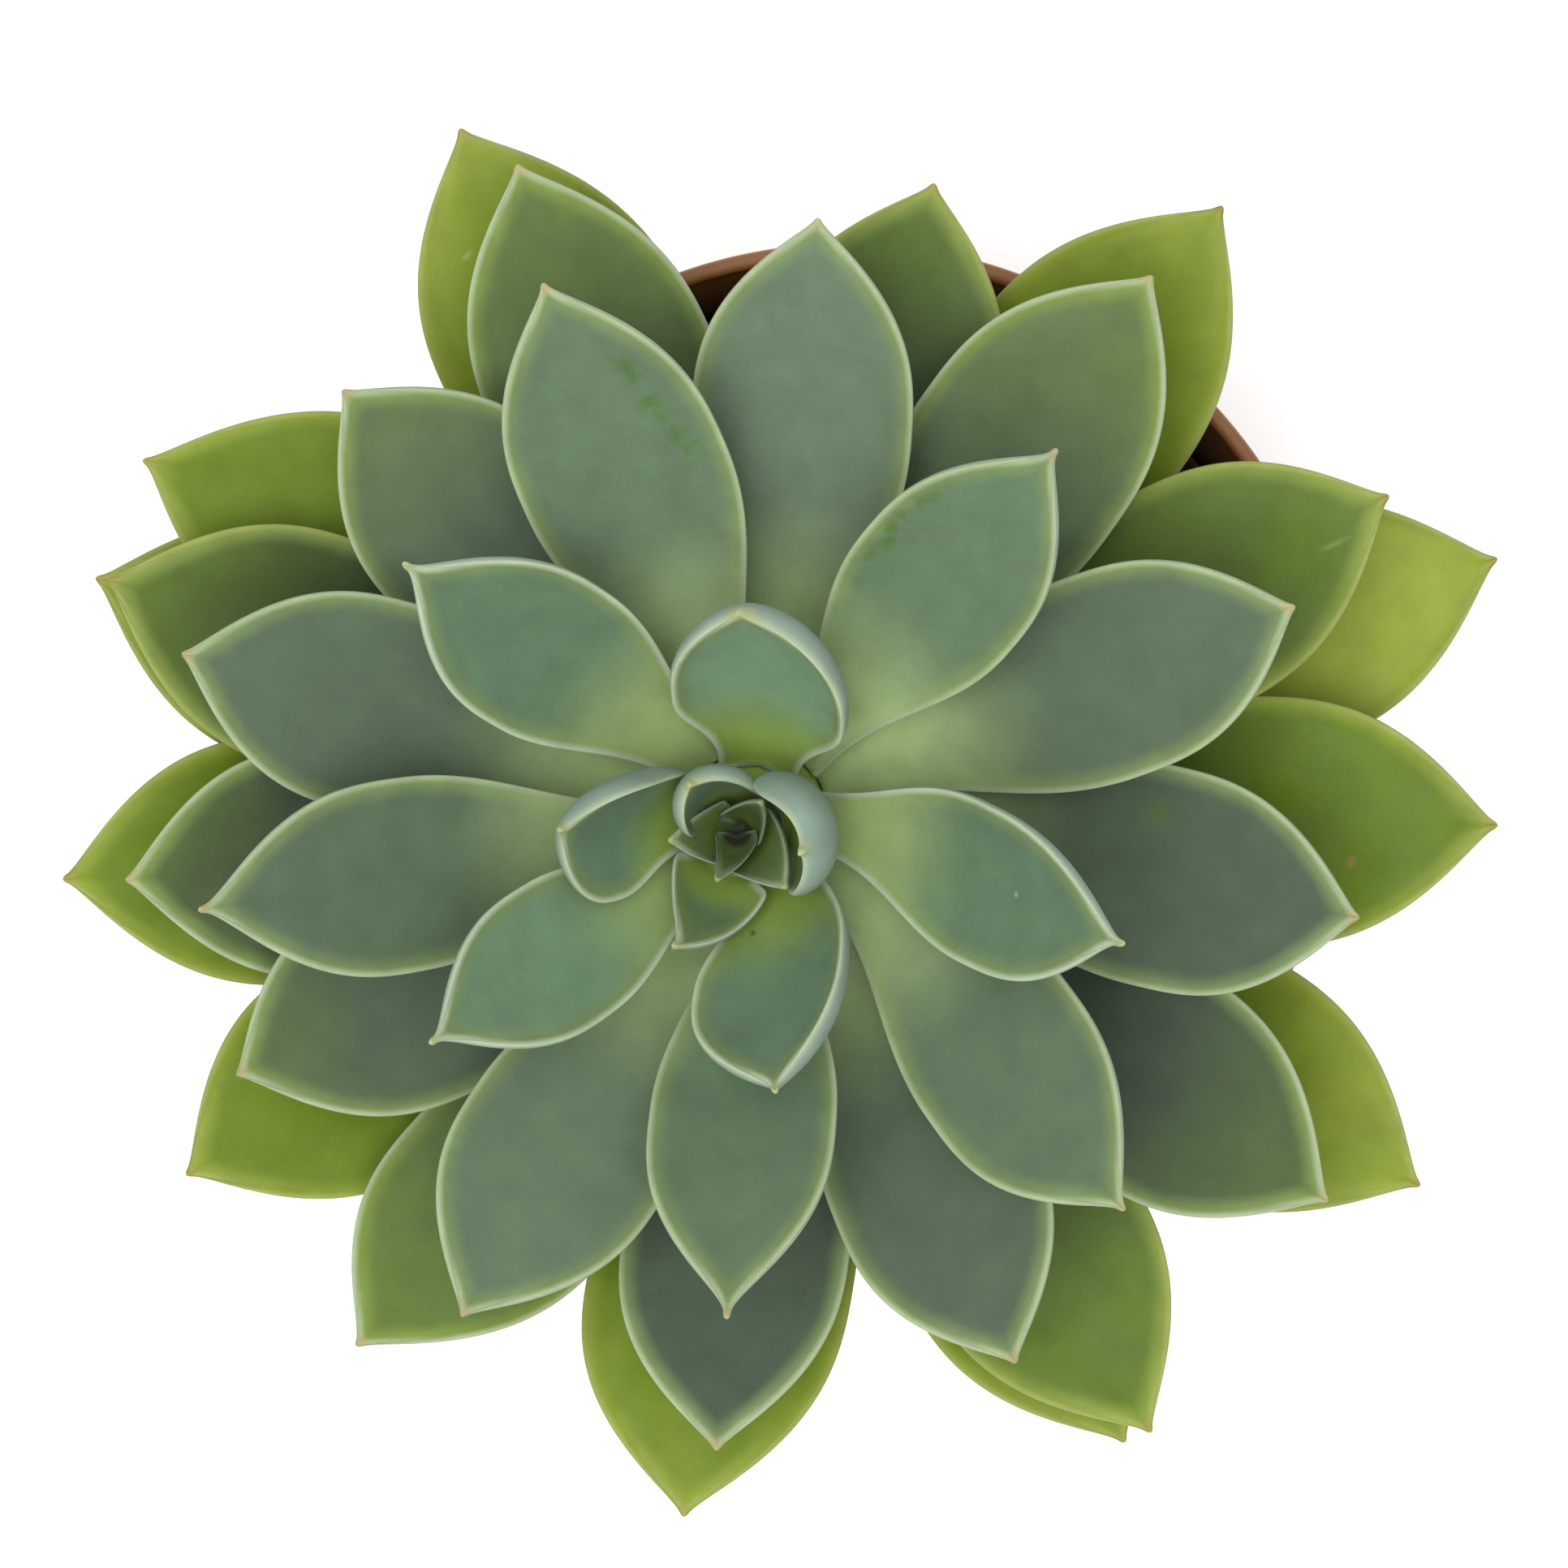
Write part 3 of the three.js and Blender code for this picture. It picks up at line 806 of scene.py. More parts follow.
@dataclass(frozen=True)
class Leaf:
    """One fleshy leaf. Its skin is a function of s, from the stem to the tip, and psi, round its section."""

    number: int
    rows: int = 96
    columns: int = 60
    tip_half_width: float = 0.3
    tip_thickness: float = 0.55
    margin_crowding: float = 0.33
    tip_crowding: float = 1.35
    waviness: float = 0.012
    wear_rise: Step = (0.55, 0.95)
    # The part of the heart's painted shade that falls on a leaf's back
    back_shade: float = 0.3
    mapped: tuple[float, float] = (30.0, 70.0)  # the width and length that the UV map covers

    @property
    def azimuth(self) -> float:
        """The direction in which the leaf leaves the stem, in degrees."""
        return FIRST_AZIMUTH + (self.number - 1) * SPIRAL_STEP

    @property
    def triangular(self) -> float:
        """How far the leaf is a thin triangle, from 0 to 1."""
        return TRIANGULAR.get(self.number, 0)

    @property
    def half_width(self) -> float:
        """Half the leaf's greatest width."""
        return BROADEST_HALF * (1 - fading(self.number, -0.6, 12)) * WIDER.get(self.number, 1)

    @property
    def base_width(self) -> float:
        """The width at the stem, as part of the greatest width."""
        return 0.26 + 0.6 * math.exp(-((self.number / 9) ** 2))

    @property
    def widest(self) -> float:
        """Where the leaf is widest, as part of its length."""
        return 0.5 + 0.14 * float(smoothstep(self.number, 6, 24)) - 0.3 * self.triangular

    @property
    def thickness(self) -> float:
        """The greatest thickness."""
        return (0.42 - 0.14 * self.triangular) * self.half_width

    @property
    def cup(self) -> float:
        """How deep the leaf is cupped, as part of its half width."""
        return 0.1 + 0.25 * fading(self.number, 1, 8)

    @property
    def slot(self) -> Slot:
        """The material slot for a leaf of this age."""
        younger = Slot.YOUNG if self.number <= LAST_YOUNG else Slot.GROWN
        return younger if self.number <= LAST_GROWN else Slot.OLD

    def phase(self, turn: int) -> float:
        """Gives the leaf an angle of its own, spread evenly over the leaves by the golden ratio."""
        return 2 * math.pi * ((self.number * 0.618034 + turn * 0.3819) % 1)

    def middle_line(self) -> tuple[float, float, float, float]:
        """Works out the arc that the leaf follows, in the upright plane through the stem's axis.

        A young leaf has a set length and leans out as far as its reach needs. An older one has a set lift
        above the horizontal and is as long as its reach needs: length = span / (chord cos(lift)), where chord
        is the arc's chord as part of its length, sin(bend / 2) / (bend / 2).

        Returns:
            How far from the stem's axis it starts, its length, its first slope and its whole bend.
        """
        n = self.number
        bend = math.radians(SET_BEND.get(n, 10 + 40 * fading(n, 1, 9)))
        chord = math.sin(bend / 2) / (bend / 2)
        lift = math.radians(5 + 0.12 * (LEAF_COUNT - n) + 62 * fading(n, 6, 11) + LIFTED_MORE.get(n, 0))
        base_rise = self.base_width * self.half_width * self.cup + 0.5 * self.thickness * TOP_BULGE
        seat = -HEART_SUNK if n <= HEART_LEAVES else SEAT_GAP + base_rise * math.sin(lift - bend / 2)
        start = stem_radius_at(n) + seat
        span = REACH[n - 1] - start
        length = span / (chord * math.cos(lift))
        if n <= YOUNG_LEAVES:
            length = 5 + 0.028 * n ** 3
            lift = math.acos(span / (chord * length))
        return start, length, lift - bend / 2, bend

    def outline(self, s: Array) -> Array:
        """Gives the half width as part of the greatest one.

        Up to the widest place it grows from the base width as sin^2. Beyond it, it is (1 - t^q)^p, where t is
        the part of the way from there to the tip. The power q is 3 on most leaves and falls to 1.1 in the
        heart, whose leaves are almost triangles. The power p is 2 on young leaves, whose sides are hollow
        towards the tip, 1.3 on old ones, and less where a tip is blunt.

        Args:
            s: Places along the leaf.

        Returns:
            The part at each place.
        """
        shoulder = 3 - 1.9 * self.triangular
        blunter = 0.9 * self.triangular + BLUNTER.get(self.number, 0)
        power = 2 - 0.7 * float(smoothstep(self.number, 12, 20)) - blunter
        inner = self.base_width + (1 - self.base_width) * np.sin(np.pi / 2 * s / self.widest) ** 2
        t = np.clip((s - self.widest) / (1 - self.widest), 0, 1)
        return np.where(s < self.widest, inner, (1 - t ** shoulder) ** power)

    def relief(self, s: Array, across: Array) -> Array:
        """Gives the low unevenness of the upper face.

        It is a slow wave along and across, a crease down the middle, and a shallow hollow just inside the
        margin, all of which fade out at the margin.

        Args:
            s: Places along the leaf, a column.
            across: Places across it, from -1 to 1, a row.

        Returns:
            The height above the even face, in millimetres.
        """
        size = self.thickness / 4.5
        inwards = 1 - np.abs(across)
        wave = 0.16 * np.sin(9 * s + self.phase(1)) * np.cos(4 * across + self.phase(2)) * (1 - across ** 2)
        depth = 0.16 * (0.5 + 0.5 * math.sin(self.phase(3)))
        crease = -depth * np.exp(-((across / 0.09) ** 2)) * np.sin(np.pi * s)
        hollow = -0.12 * np.exp(-((inwards - 0.2) / 0.1) ** 2)
        return size * (wave + crease + hollow) * smoothstep(inwards, 0.0, 0.12)

    def rings(self, s: Array, psi: Array) -> tuple[Array, Array]:
        """Works out the leaf's skin.

        The section is cos(psi) half widths across. It rises by the cup times cos(psi)^2, and by the thickness
        times 0.18 sqrt(sin psi) above its middle surface and 0.82 sin psi below it. It rolls, and turns about
        the stem's axis, on its way out. Its width wraps round that axis.

        Args:
            s: Places along the leaf, a column (rows, 1).
            psi: Angles round the section, a row (1, columns).

        Returns:
            The points (rows, columns, 3), and the half width at each s.
        """
        start, length, first, bend = self.middle_line()
        n = self.number
        slope = first + bend * s
        reach = start + length / bend * (np.sin(slope) - np.sin(first))
        height = leaf_height(n) + length / bend * (np.cos(first) - np.cos(slope))
        to_tip = np.clip((1 - s) * length / self.tip_half_width, 0, 1)
        half = np.hypot(self.half_width * self.outline(s), self.tip_half_width * np.sqrt(to_tip))
        half = half * (1 + self.waviness * np.sin(7 * s + self.phase(4)))
        full = np.where(s < self.widest, 0.5 + 0.5 * np.sin(np.pi / 2 * s / self.widest) ** 2,
                        self.outline(s) ** 0.6)
        thick = np.hypot(self.thickness * full, self.tip_thickness * np.sqrt(to_tip))
        on_its_way = np.sin(np.pi / 2 * s)
        azimuth = np.radians(self.azimuth + TURN[n - 1] * on_its_way + HOOK.get(n, 0) * s ** 4)
        roll = np.radians(ROLL.get(n, 0) * on_its_way)

        across, around = np.cos(psi), np.sin(psi)
        top = np.maximum(around, 0)
        body = TOP_BULGE * np.sqrt(top) + (1 - TOP_BULGE) * np.minimum(around, 0)
        relief = self.relief(s, across) * smoothstep(top, 0, 0.3)
        flat_rise = self.cup * half * across ** 2 + thick * body + relief
        rise = flat_rise * np.cos(roll) + half * across * np.sin(roll)
        aside = half * across * np.cos(roll) - flat_rise * np.sin(roll)
        slack = WRAP_SLACK * (1 - s) ** 2
        wrap = aside / (reach + slack)
        radius = reach + slack - rise * np.sin(slope)
        out, side = radius * np.cos(wrap) - slack, radius * np.sin(wrap)
        x = PLANT_X + out * np.cos(azimuth) - side * np.sin(azimuth)
        y = PLANT_Y + out * np.sin(azimuth) + side * np.cos(azimuth)
        points = np.stack([x, y, height + rise * np.cos(slope)], axis=-1)
        return points + lean_at(leaf_height(n)), half

    def grid(self) -> tuple[Array, Array]:
        """Spaces the rows closer towards the tip and the columns closer at the two margins.

        A row that is v of the way lies at s = 1 - (1 - v)^1.35, and an angle is lessened by 0.33 times the
        sine of twice itself.

        Returns:
            The places s along the leaf, a column, and the angles psi round its section, a row.
        """
        v = np.linspace(0, 1, self.rows + 1)[:-1, None]
        turn = np.linspace(0, 2 * np.pi, self.columns, endpoint=False)[None, :]
        return 1 - (1 - v) ** self.tip_crowding, turn - self.margin_crowding * np.sin(2 * turn)

    def edge_distance(self, rings: Array, half: Array, s: Array) -> Array:
        """Measures how far each point lies inwards from the nearer margin, over the surface.

        The distance round the ring is shortened by the cosine of the margin's slant.

        Args:
            rings: The leaf's points.
            half: The half width at each ring.
            s: The place of each ring along the leaf.

        Returns:
            The distances, which are negative on the back.
        """
        steps = np.linalg.norm(np.roll(rings, -1, axis=1) - rings, axis=-1)
        run = np.cumsum(steps, axis=1) - steps
        total, middle = steps.sum(axis=1, keepdims=True), run[:, self.columns // 2, None]
        upper = np.minimum(run, middle - run)
        lower = -np.minimum(run - middle, total - run)
        column = np.arange(self.columns)[None, :]
        slant = np.gradient(half[:, 0], s[:, 0] * self.middle_line()[1])[:, None]
        return np.where(column <= self.columns // 2, upper, lower) / np.sqrt(1 + slant ** 2)

    def lime_at(self, s: Array) -> Array:
        """Says how far the bloom has gone at each s, from the leaf's values at its middle and tip."""
        middle, tip = LIME.get(self.number, (0.0, 0.0))
        return middle + (tip - middle) * smoothstep(s, *self.wear_rise)

    def rubbed_at(self, s: Array, across: Array, upper: Array) -> Array:
        """Adds up the leaf's rubbed spots, each of them exp(-r^2) of an oval.

        Args:
            s: Places along the leaf, a column.
            across: Places across it, from -1 to 1, a row.
            upper: 1 on the upper face and 0 on the back, a row.

        Returns:
            How far the bloom is rubbed off at each point.
        """
        total = np.zeros(np.broadcast(s, across).shape)
        for at_across, at_s, size_across, size_s, amount in RUBBED.get(self.number, ()):
            total += amount * np.exp(-((across - at_across) / size_across) ** 2 - ((s - at_s) / size_s) ** 2)
        return total * upper

    def build(self, name: str) -> Piece:
        """Makes the leaf's mesh and stores on it what its material reads.

        Args:
            name: The piece's name.

        Returns:
            The piece.
        """
        s, psi = self.grid()
        rings, half = self.rings(s, psi)
        tip_ring, _ = self.rings(np.ones((1, 1)), psi)
        piece = skin(name, rings, rings[0].mean(axis=0), tip_ring[0].mean(axis=0))
        length = self.middle_line()[1]
        across, upper = np.cos(psi), (np.sin(psi) > 0).astype(float)
        shape = rings.shape[:2]
        # For the rings, for the pole at the stem and for the pole at the tip
        stored = {
            "edge": (self.edge_distance(rings, half, s), -2.0, 0.0),
            "along": (s, 0.0, 1.0),
            "tip": ((1 - s) * length, length, 0.0),
            "lime": (self.lime_at(s), *self.lime_at(np.array([0.0, 1.0]))),
            "rubbed": (self.rubbed_at(s, across, upper), 0.0, 0.0),
        }
        for key, (values, first, last) in stored.items():
            set_values(piece, key, np.append(np.broadcast_to(values, shape), (first, last)))
        same = np.ones(len(piece.data.vertices))
        set_values(piece, "age", self.number / LEAF_COUNT * same)
        # Each leaf's painted light and shade, lighter for leaves in the light, darker for those deep under
        # others
        set_values(piece, "tone", TONE.get(self.number, 1.0) * same)
        # The leaves of the heart get painted shade, less of it on their backs
        if self.number <= HEART_LEAVES + 1:
            share = self.back_shade + (1 - self.back_shade) * upper
            on_top = np.append(np.broadcast_to(share, shape), (1.0, self.back_shade))
            set_values(piece, "shade", heart_shade(piece) * on_top)
        width, height = self.mapped
        uv = np.stack([0.5 + half * across / width + 0 * s, s * length / height + 0 * across], axis=-1)
        set_uv(piece, np.concatenate([uv.reshape(-1, 2), [(0.5, 0.0), (0.5, length / height)]]))
        return piece


@dataclass(frozen=True)
class Rosette:
    """The whole spiral of leaves, with the growing tip in its heart."""

    dome_sides: int = 64
    dome_leaves: tuple[int, int] = (5, 3)  # the dome's outline passes through their seats

    def growing_tip(self) -> Piece:
        """Makes the small dome that the youngest leaves stand on, and gives it the look of a leaf's face
        under the heart's painted shade.

        Returns:
            The dome, a rounded outline turned round the leaning axis.
        """
        foot = leaf_height(HEART_LEAVES + 1) - STEM_HEAD + GAP
        corners = [(0.0, foot, 0.0), (stem_radius_at(HEART_LEAVES), foot, 0.3)]
        corners += [(stem_radius_at(n), leaf_height(n), 0.5) for n in self.dome_leaves]
        corners.append((0.0, leaf_height(1), 0.0))
        piece = turned("growing_tip", rounded(corners), self.dome_sides, PLANT_X + LEAN[0], PLANT_Y + LEAN[1])
        shade = heart_shade(piece)
        for key, value in (("edge", 2.0), ("along", 0.3), ("tip", 9.0), ("tone", 1.0), ("shade", shade)):
            set_values(piece, key, np.broadcast_to(value, shape=shade.shape))
        return piece

    def build(self, palette: Palette) -> None:
        """Makes and dresses every leaf.

        Args:
            palette: The materials.
        """
        palette.dress(self.growing_tip(), Slot.YOUNG, "heart")
        for n in range(1, LEAF_COUNT + 1):
            if n == LOST_LEAF:
                continue
            leaf = Leaf(n)
            if n <= HEART_LEAVES:
                palette.dress(leaf.build(f"heart_leaf_{n}"), leaf.slot, "heart")
            else:
                palette.dress(leaf.build(f"succulent_leaf_{n:02d}"), leaf.slot, f"leaf_{n:02d}")


# ---------------------------------------------------------------- stem, soil and pot

@dataclass(frozen=True)
class Stem:
    """The short stem, with the scars of the leaves that it has dropped."""

    foot: float = 50.3
    neck: float = 4.0
    rows: int = 160
    sides: int = 96
    scars: int = 26
    scar_pitch: float = 0.95
    scar_size: float = 0.42
    scar_height: float = 0.45
    sunk: float = 0.25  # how far the bark lies inside the turned outline
    wave: float = 0.12
    leaves_on_outline: tuple[int, int, int] = (15, 12, 9)  # the outline passes through their seats

    def bumps(self, z: Array, angle: Array) -> Array:
        """Gives the bark's unevenness: low waves, and a raised crescent for each dropped leaf.

        A crescent is exp(-(away / size)^4 - (drop / size)^2), where away is the angle from the leaf's place,
        and drop is the height above a line that rises with the square of that angle.

        Args:
            z: Heights, a column.
            angle: Angles round the stem, a row.

        Returns:
            How far the bark lies outside the turned outline, in millimetres.
        """
        bumps = -self.sunk + self.wave * np.sin(5 * angle + 0.9 * z) * np.sin(1.7 * z)
        for k in range(1, self.scars):
            at = math.radians(FIRST_AZIMUTH + (LEAF_COUNT + k - 1) * SPIRAL_STEP)
            away = (angle - at + np.pi) % (2 * np.pi) - np.pi
            drop = z - (LOWEST_LEAF_Z - 2 - self.scar_pitch * k) - 0.9 * away ** 2
            crescent = np.exp(-((away / self.scar_size) ** 4) - (drop / self.scar_size) ** 2)
            bumps = bumps + self.scar_height * crescent
        return bumps

    def build(self, palette: Palette) -> None:
        """Makes and dresses the stem: a turned outline, into which the bark sinks below the lowest leaf.

        Args:
            palette: The materials.
        """
        top = leaf_height(HEART_LEAVES + 1) - STEM_HEAD
        outline = [(self.foot, STEM_RADIUS), (LOWEST_LEAF_Z - self.neck, STEM_RADIUS),
                   (LOWEST_LEAF_Z - self.neck / 2, stem_radius_at(LEAF_COUNT))]
        outline += [(leaf_height(n), stem_radius_at(n)) for n in self.leaves_on_outline]
        outline.append((top, stem_radius_at(HEART_LEAVES + 1)))
        z = np.linspace(self.foot, top, self.rows)[:, None]
        angle = np.linspace(0, 2 * np.pi, self.sides, endpoint=False)[None, :]
        below = smoothstep(z, LOWEST_LEAF_Z + 1, LOWEST_LEAF_Z - 3)
        radius = np.interp(z, *np.array(outline).T) + np.minimum(self.bumps(z, angle), 0.0) * below
        x, y = PLANT_X + radius * np.cos(angle), PLANT_Y + radius * np.sin(angle)
        rings = np.stack([x, y, z + 0 * angle], axis=-1) + lean_at(z)
        ends = (np.array([PLANT_X, PLANT_Y, h]) + lean_at(h) for h in (self.foot, top))
        piece = skin("short_stem", rings, *ends)
        fresh = smoothstep(z, LOWEST_LEAF_Z, LOWEST_LEAF_Z + 12) + 0 * angle
        set_values(piece, "second", np.append(fresh, (0.0, 1.0)))
        palette.dress(piece, Slot.STEM, "stem")


@dataclass(frozen=True)
class NurseryPot:
    """The round plastic pot: a sloped wall, a wider collar below the rim, a rolled lip and drain holes."""

    height: float = 80.0
    rim_radius: float = 45.0
    base_radius: float = 31.5
    wall: float = 1.2
    floor: float = 1.8
    collar_height: float = 14.0
    collar_step: float = 1.1
    lip_width: float = 1.5
    lip_height: float = 2.0
    drain_holes: int = 6
    drain_radius: float = 4.0
    drain_circle: float = 20.0
    sides: int = 192
    sharp_angle: float = 35.0
    inside_from: float = 0.45  # how far in from the outer face the painted shade of the pot's inside starts

    @property
    def collar_z(self) -> float:
        """The height at which the collar starts."""
        return self.height - self.collar_height

    def outer(self, z: float) -> float:
        """Gives the wall's outer radius at a height."""
        spread = self.rim_radius - self.collar_step - 1 - self.base_radius
        return self.base_radius + spread / self.height * z

    def inner(self, z: float) -> float:
        """Gives the wall's inner radius at a height."""
        return self.outer(z) - self.wall

    def profile(self) -> Array:
        """Draws the half outline from the middle of the base, up the outside and down the inside.

        Returns:
            Its points (n, 2), of radius and height.
        """
        lip_z, inside = self.height - self.lip_height, self.rim_radius - self.lip_width
        step, collar = self.collar_step, self.collar_z
        return rounded([
            (0.0, 0.0, 0.0), (10.0, 0.0, 0.0), (self.base_radius - 1, 0.0, 0.4), (self.outer(1), 1.0, 0.4),
            (self.outer(30), 30.0, 0.0), (self.outer(collar - 0.4), collar - 0.4, 0.3),
            (self.outer(collar) + step, collar, 0.3), (self.rim_radius - 0.5, lip_z - 0.4, 0.3),
            (self.rim_radius, lip_z, 0.3), (self.rim_radius, self.height, 0.7), (inside, self.height, 0.7),
            (inside, lip_z, 0.5), (self.inner(collar) + step, collar, 0.5),
            (self.inner(collar - self.wall), collar - self.wall, 0.5), (self.inner(30), 30.0, 0.0),
            (self.inner(self.floor), self.floor, 0.8), (10.0, self.floor, 0.0), (0.0, self.floor, 0.0),
        ])

    def build(self, palette: Palette) -> None:
        """Makes and dresses the pot: its outline is turned, and the drain holes are cut.

        Args:
            palette: The materials.
        """
        pot = turned("nursery_pot", self.profile(), self.sides)
        angles = np.arange(self.drain_holes) * 2 * np.pi / self.drain_holes
        far = self.drain_circle
        holes = [(far * math.cos(angle), far * math.sin(angle)) for angle in angles]
        cut_away(pot, [cylinder(self.drain_radius, -self.floor, 2 * self.floor, x, y) for x, y in holes])
        pot.data.set_sharp_from_angle(angle=math.radians(self.sharp_angle))
        x, y, z = stored_places(pot).T
        outside = self.outer(z) + self.collar_step * (z > self.collar_z - 0.01)
        # Marks the whole inside of the pot for its near-black painted shade
        set_values(pot, "second", (np.hypot(x, y) < outside - self.inside_from) & (z > self.floor / 2))
        palette.dress(pot, Slot.POT, "pot")


@dataclass(frozen=True)
class Soil:
    """The peat mix that fills the pot, with loose crumbs on top."""

    pot: NurseryPot
    top: float = 68.0
    relief: float = 0.9
    lump_height: float = 0.35
    edge_gap: float = 1.0  # between the surface and the wall
    swell: tuple[float, float, float] = (0.31, 0.27, 0.6)  # radians a millimetre both ways, and a phase
    ripple: tuple[float, float] = (0.4, 0.7)  # radians a millimetre both ways
    rows: int = 90
    sides: int = 180
    stem_hole: float = 6.95
    stem_depth: float = 18.0
    crumbs: int = 700
    seed: int = 11
    ball_rings: int = 5
    ball_sides: int = 8
    crumb_inset: float = 1.8  # between the outermost crumbs' middles and the surface's edge
    crumb_size: tuple[float, float] = (0.35, 1.15)  # the least, and how far the largest exceed it
    squeeze: tuple[float, float] = (0.6, 1.25)
    dents: tuple[float, float] = (0.8, 1.15)
    crumb_rise: float = 0.3  # of a crumb's size, how far its middle stands above the surface
    stem_clearance: float = 1.5

    def level(self, x: Array, y: Array) -> Array:
        """Gives the height of the surface: a long swell, a short ripple across it, and small lumps.

        Args:
            x: Where the points lie.
            y: Where they lie the other way.

        Returns:
            The height at each point.
        """
        swell = np.sin(self.swell[0] * x + self.swell[2]) * np.cos(self.swell[1] * y)
        ripple = np.sin(self.ripple[0] * x + self.ripple[1] * y)
        lumps = np.sin(1.9 * x + 1.3 * np.sin(0.8 * y)) * np.sin(2.3 * y + 1.1 * np.sin(1.2 * x))
        return self.top + self.relief * (swell + 0.5 * ripple) + self.lump_height * lumps

    @property
    def edge(self) -> float:
        """The radius of the surface, where it meets the wall."""
        return self.pot.inner(self.top) + self.pot.collar_step - self.edge_gap

    def body(self) -> Piece:
        """Makes the soil as one closed body: the pot's inside, turned, with an uneven top and a stem hole.

        Returns:
            The body.
        """
        pot = self.pot
        foot, step_z = pot.floor + GAP, pot.collar_z - pot.wall
        wall = rounded([(0.0, foot, 0.0), (pot.inner(pot.floor) - GAP, foot, 0.8),
                        (pot.inner(step_z) - GAP, step_z, 0.4), (self.edge, self.top, 0.0)])
        across = np.linspace(1, 0, self.rows + 1)[:-1, None] * self.edge
        flat = np.hstack([across, np.full_like(across, self.top)])
        rings = lathe_rings(np.concatenate([wall[1:-1], flat]), self.sides)
        surface = rings[-self.rows:]
        surface[..., 2] = self.level(surface[..., 0], surface[..., 1])
        middle = float(self.level(np.zeros(1), np.zeros(1))[0])
        soil = skin("peat_soil", rings, np.array([0.0, 0.0, foot]), np.array([0.0, 0.0, middle]))
        cut_away(soil, [cylinder(self.stem_hole, self.top - self.stem_depth, self.top + 4, PLANT_X, PLANT_Y)])
        return soil

    def loose_crumbs(self) -> Piece:
        """Scatters crumbs over the surface, clear of the stem.

        Each crumb is a small ball, squeezed, dented and turned by random draws, and partly sunk in the soil.
        Their distances from the middle go with the square root of a draw, so that they lie evenly.

        Returns:
            All the crumbs in one piece.
        """
        turn = np.linspace(0, 2 * np.pi, self.ball_sides, endpoint=False)
        tilt = np.linspace(-np.pi / 2, np.pi / 2, self.ball_rings + 2)[1:-1, None]
        flat = np.cos(tilt)
        ball = np.stack([flat * np.cos(turn), flat * np.sin(turn), np.sin(tilt) + 0 * turn], axis=-1)
        ball = np.concatenate([ball.reshape(-1, 3), [(0, 0, -1), (0, 0, 1)]])
        count, draw = self.crumbs, np.random.default_rng(self.seed)
        far = (self.edge - self.crumb_inset) * np.sqrt(draw.random(count))
        angle = 2 * np.pi * draw.random(count)
        size = self.crumb_size[0] + self.crumb_size[1] * draw.random(count) ** 3
        stretch = draw.uniform(*self.squeeze, (count, 1, 3))
        dents = draw.uniform(*self.dents, (count, len(ball), 1))
        spin = 2 * np.pi * draw.random(count)
        shape = ball[None] * stretch * dents * size[:, None, None]
        c, s = np.cos(spin)[:, None], np.sin(spin)[:, None]
        x, y = far * np.cos(angle), far * np.sin(angle)
        z = self.level(x, y) + self.crumb_rise * size
        turned_x = c * shape[..., 0] - s * shape[..., 1]
        turned_y = s * shape[..., 0] + c * shape[..., 1]
        points = np.stack([x[:, None] + turned_x, y[:, None] + turned_y, z[:, None] + shape[..., 2]], axis=-1)
        points = points[np.hypot(x - PLANT_X, y - PLANT_Y) > STEM_RADIUS + self.stem_clearance]
        start = (np.arange(len(points)) * len(ball))[:, None, None]
        parts = ring_faces(self.ball_rings, self.ball_sides)
        faces = [(part[None] + start).reshape(-1, part.shape[1]) for part in parts]
        return mesh_object("soil_crumbs", points.reshape(-1, 3), faces, smooth=False)

    def build(self, palette: Palette) -> None:
        """Makes and dresses the soil."""
        palette.dress(self.body(), Slot.SOIL, "soil")
        palette.dress(self.loose_crumbs(), Slot.SOIL)


# ---------------------------------------------------------------- studio

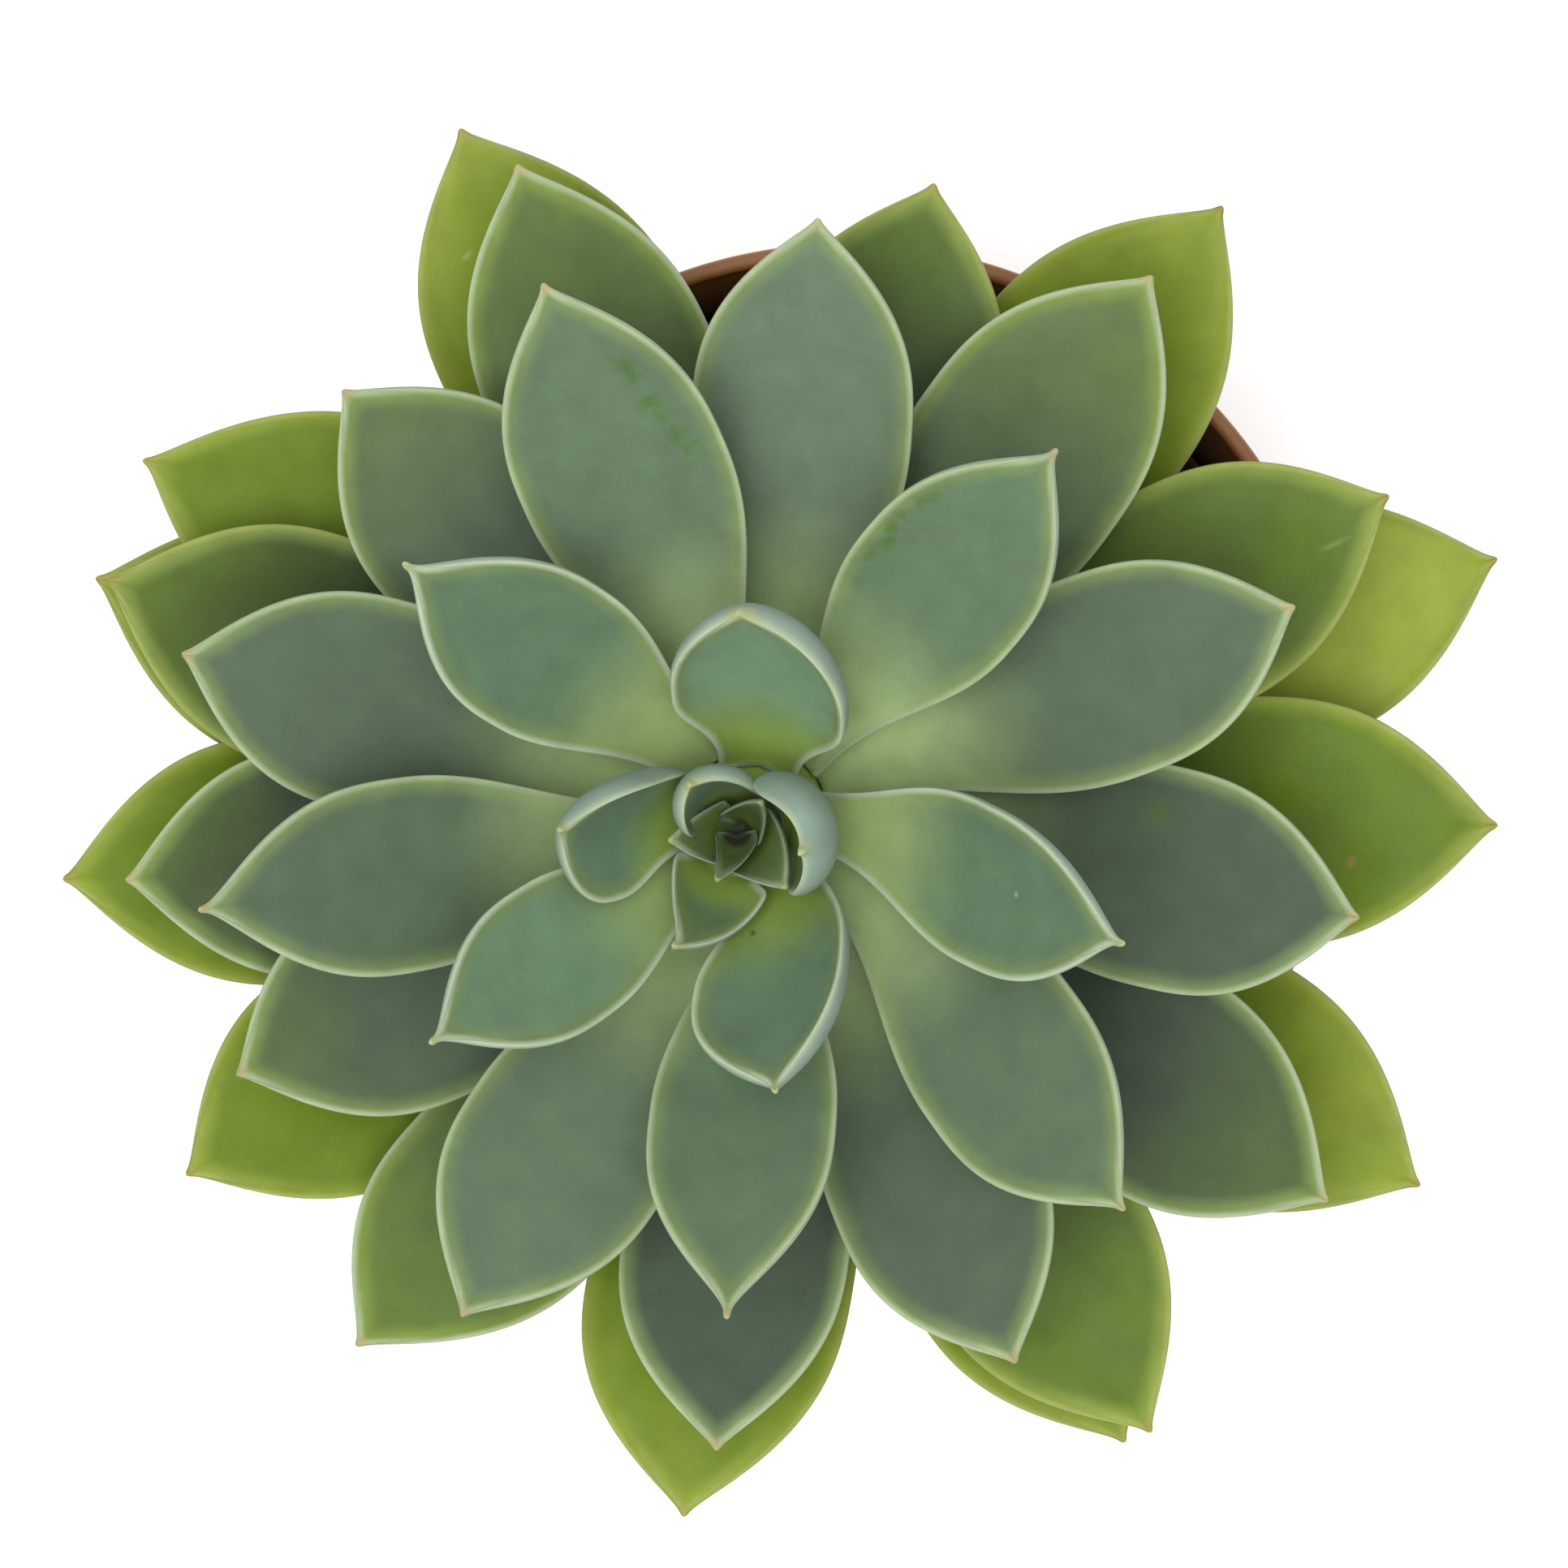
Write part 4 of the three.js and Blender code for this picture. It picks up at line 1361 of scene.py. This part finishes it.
@dataclass(frozen=True)
class Studio:
    """A plain pale floor, soft light from above, and a camera that looks nearly straight down.

    Its sizes are metres, apart from the frame's pixels, the sensor's width and what ends in mm.
    """

    frame_side: int = 1932
    rim_middle_px: tuple[float, float] = (1041.5, 917.7)  # across and down
    rim_radius_px: float = 616.0
    rim_radius: float = 0.045
    rim_height: float = 0.080
    distance: float = 0.5
    tilt: float = 4.0
    tilt_azimuth: float = 45.0
    sensor: float = 36.0
    clip: tuple[float, float] = (0.01, 20.0)
    light_place: Place = (-0.1, -0.14, 1.3)
    light_target: Place = (0.0, 0.0, 0.1)
    light_size: float = 1.0
    light_power: float = 20.0
    sky_strength: float = 0.9
    floor_side_mm: float = 4000.0
    floor_z_mm: float = -0.2
    floor_cloud_mm: float = 400.0
    floor_tones: tuple[Colour, Colour] = ((0.93, 0.93, 0.93), (0.96, 0.96, 0.955))

    def camera(self) -> None:
        """Places the camera so that the pot's rim falls where the photograph shows it."""
        per_px = self.rim_radius / self.rim_radius_px
        middle = self.frame_side / 2
        across, down = self.rim_middle_px
        target = Vector(((middle - across) * per_px, (down - middle) * per_px, self.rim_height))
        tilt, azimuth = math.radians(self.tilt), math.radians(self.tilt_azimuth)
        aside = math.sin(tilt)
        back = Vector((aside * math.cos(azimuth), aside * math.sin(azimuth), math.cos(tilt)))
        right = Vector((0, 1, 0)).cross(back).normalized()
        data = bpy.data.cameras.new("camera")
        data.sensor_width = self.sensor
        data.lens = self.distance / per_px / self.frame_side * self.sensor
        data.clip_start, data.clip_end = self.clip
        camera = bpy.data.objects.new("camera", data)
        turn = Matrix((right, back.cross(right), back)).transposed().to_4x4()
        camera.matrix_world = Matrix.Translation(target + self.distance * back) @ turn
        bpy.context.scene.collection.objects.link(camera)
        bpy.context.scene.camera = camera

    def light(self) -> None:
        """Hangs one square soft light that faces the plant."""
        data = bpy.data.lights.new("key_light", "AREA")
        data.size, data.energy = self.light_size, self.light_power
        light = bpy.data.objects.new("key_light", data)
        light.location = self.light_place
        back = Vector(self.light_place) - Vector(self.light_target)
        light.rotation_euler = back.to_track_quat("Z", "Y").to_euler()
        bpy.context.scene.collection.objects.link(light)

    def floor(self) -> None:
        """Lays a pale floor with hardly visible clouds."""
        side, z = self.floor_side_mm, self.floor_z_mm
        corners = [(x * side, y * side, z) for x, y in ((-1, -1), (1, -1), (1, 1), (-1, 1))]
        floor = mesh_object("floor", np.array(corners), [np.array([[0, 1, 2, 3]])], smooth=False)
        material, w, shader = new_material("pale_floor")
        clouds = w.noise(w.place(), self.floor_cloud_mm)
        w.plug(shader.inputs["Base Color"], w.mix(clouds, *self.floor_tones))
        shader.inputs["Roughness"].default_value = 0.9
        floor.data.materials.append(material)

    def sky(self) -> None:
        """Lets plain white light in from all sides."""
        world = bpy.data.worlds.new("sky")
        world.use_nodes = True
        background = world.node_tree.nodes["Background"]
        background.inputs["Color"].default_value = (1.0, 1.0, 1.0, 1.0)
        background.inputs["Strength"].default_value = self.sky_strength
        bpy.context.scene.world = world

    def build(self) -> None:
        """Sets up the floor, the lights and the camera."""
        self.floor()
        self.sky()
        self.light()
        self.camera()
        bpy.context.scene.view_settings.view_transform = "Standard"


def main() -> None:
    """Builds the pot, the soil, the plant and the studio in order."""
    logging.basicConfig(level=logging.INFO, format="%(message)s")
    palette = Palette()
    pot = NurseryPot()
    pot.build(palette)
    Soil(pot).build(palette)
    Stem().build(palette)
    Rosette().build(palette)
    Studio().build()


if __name__ == "__main__":
    main()
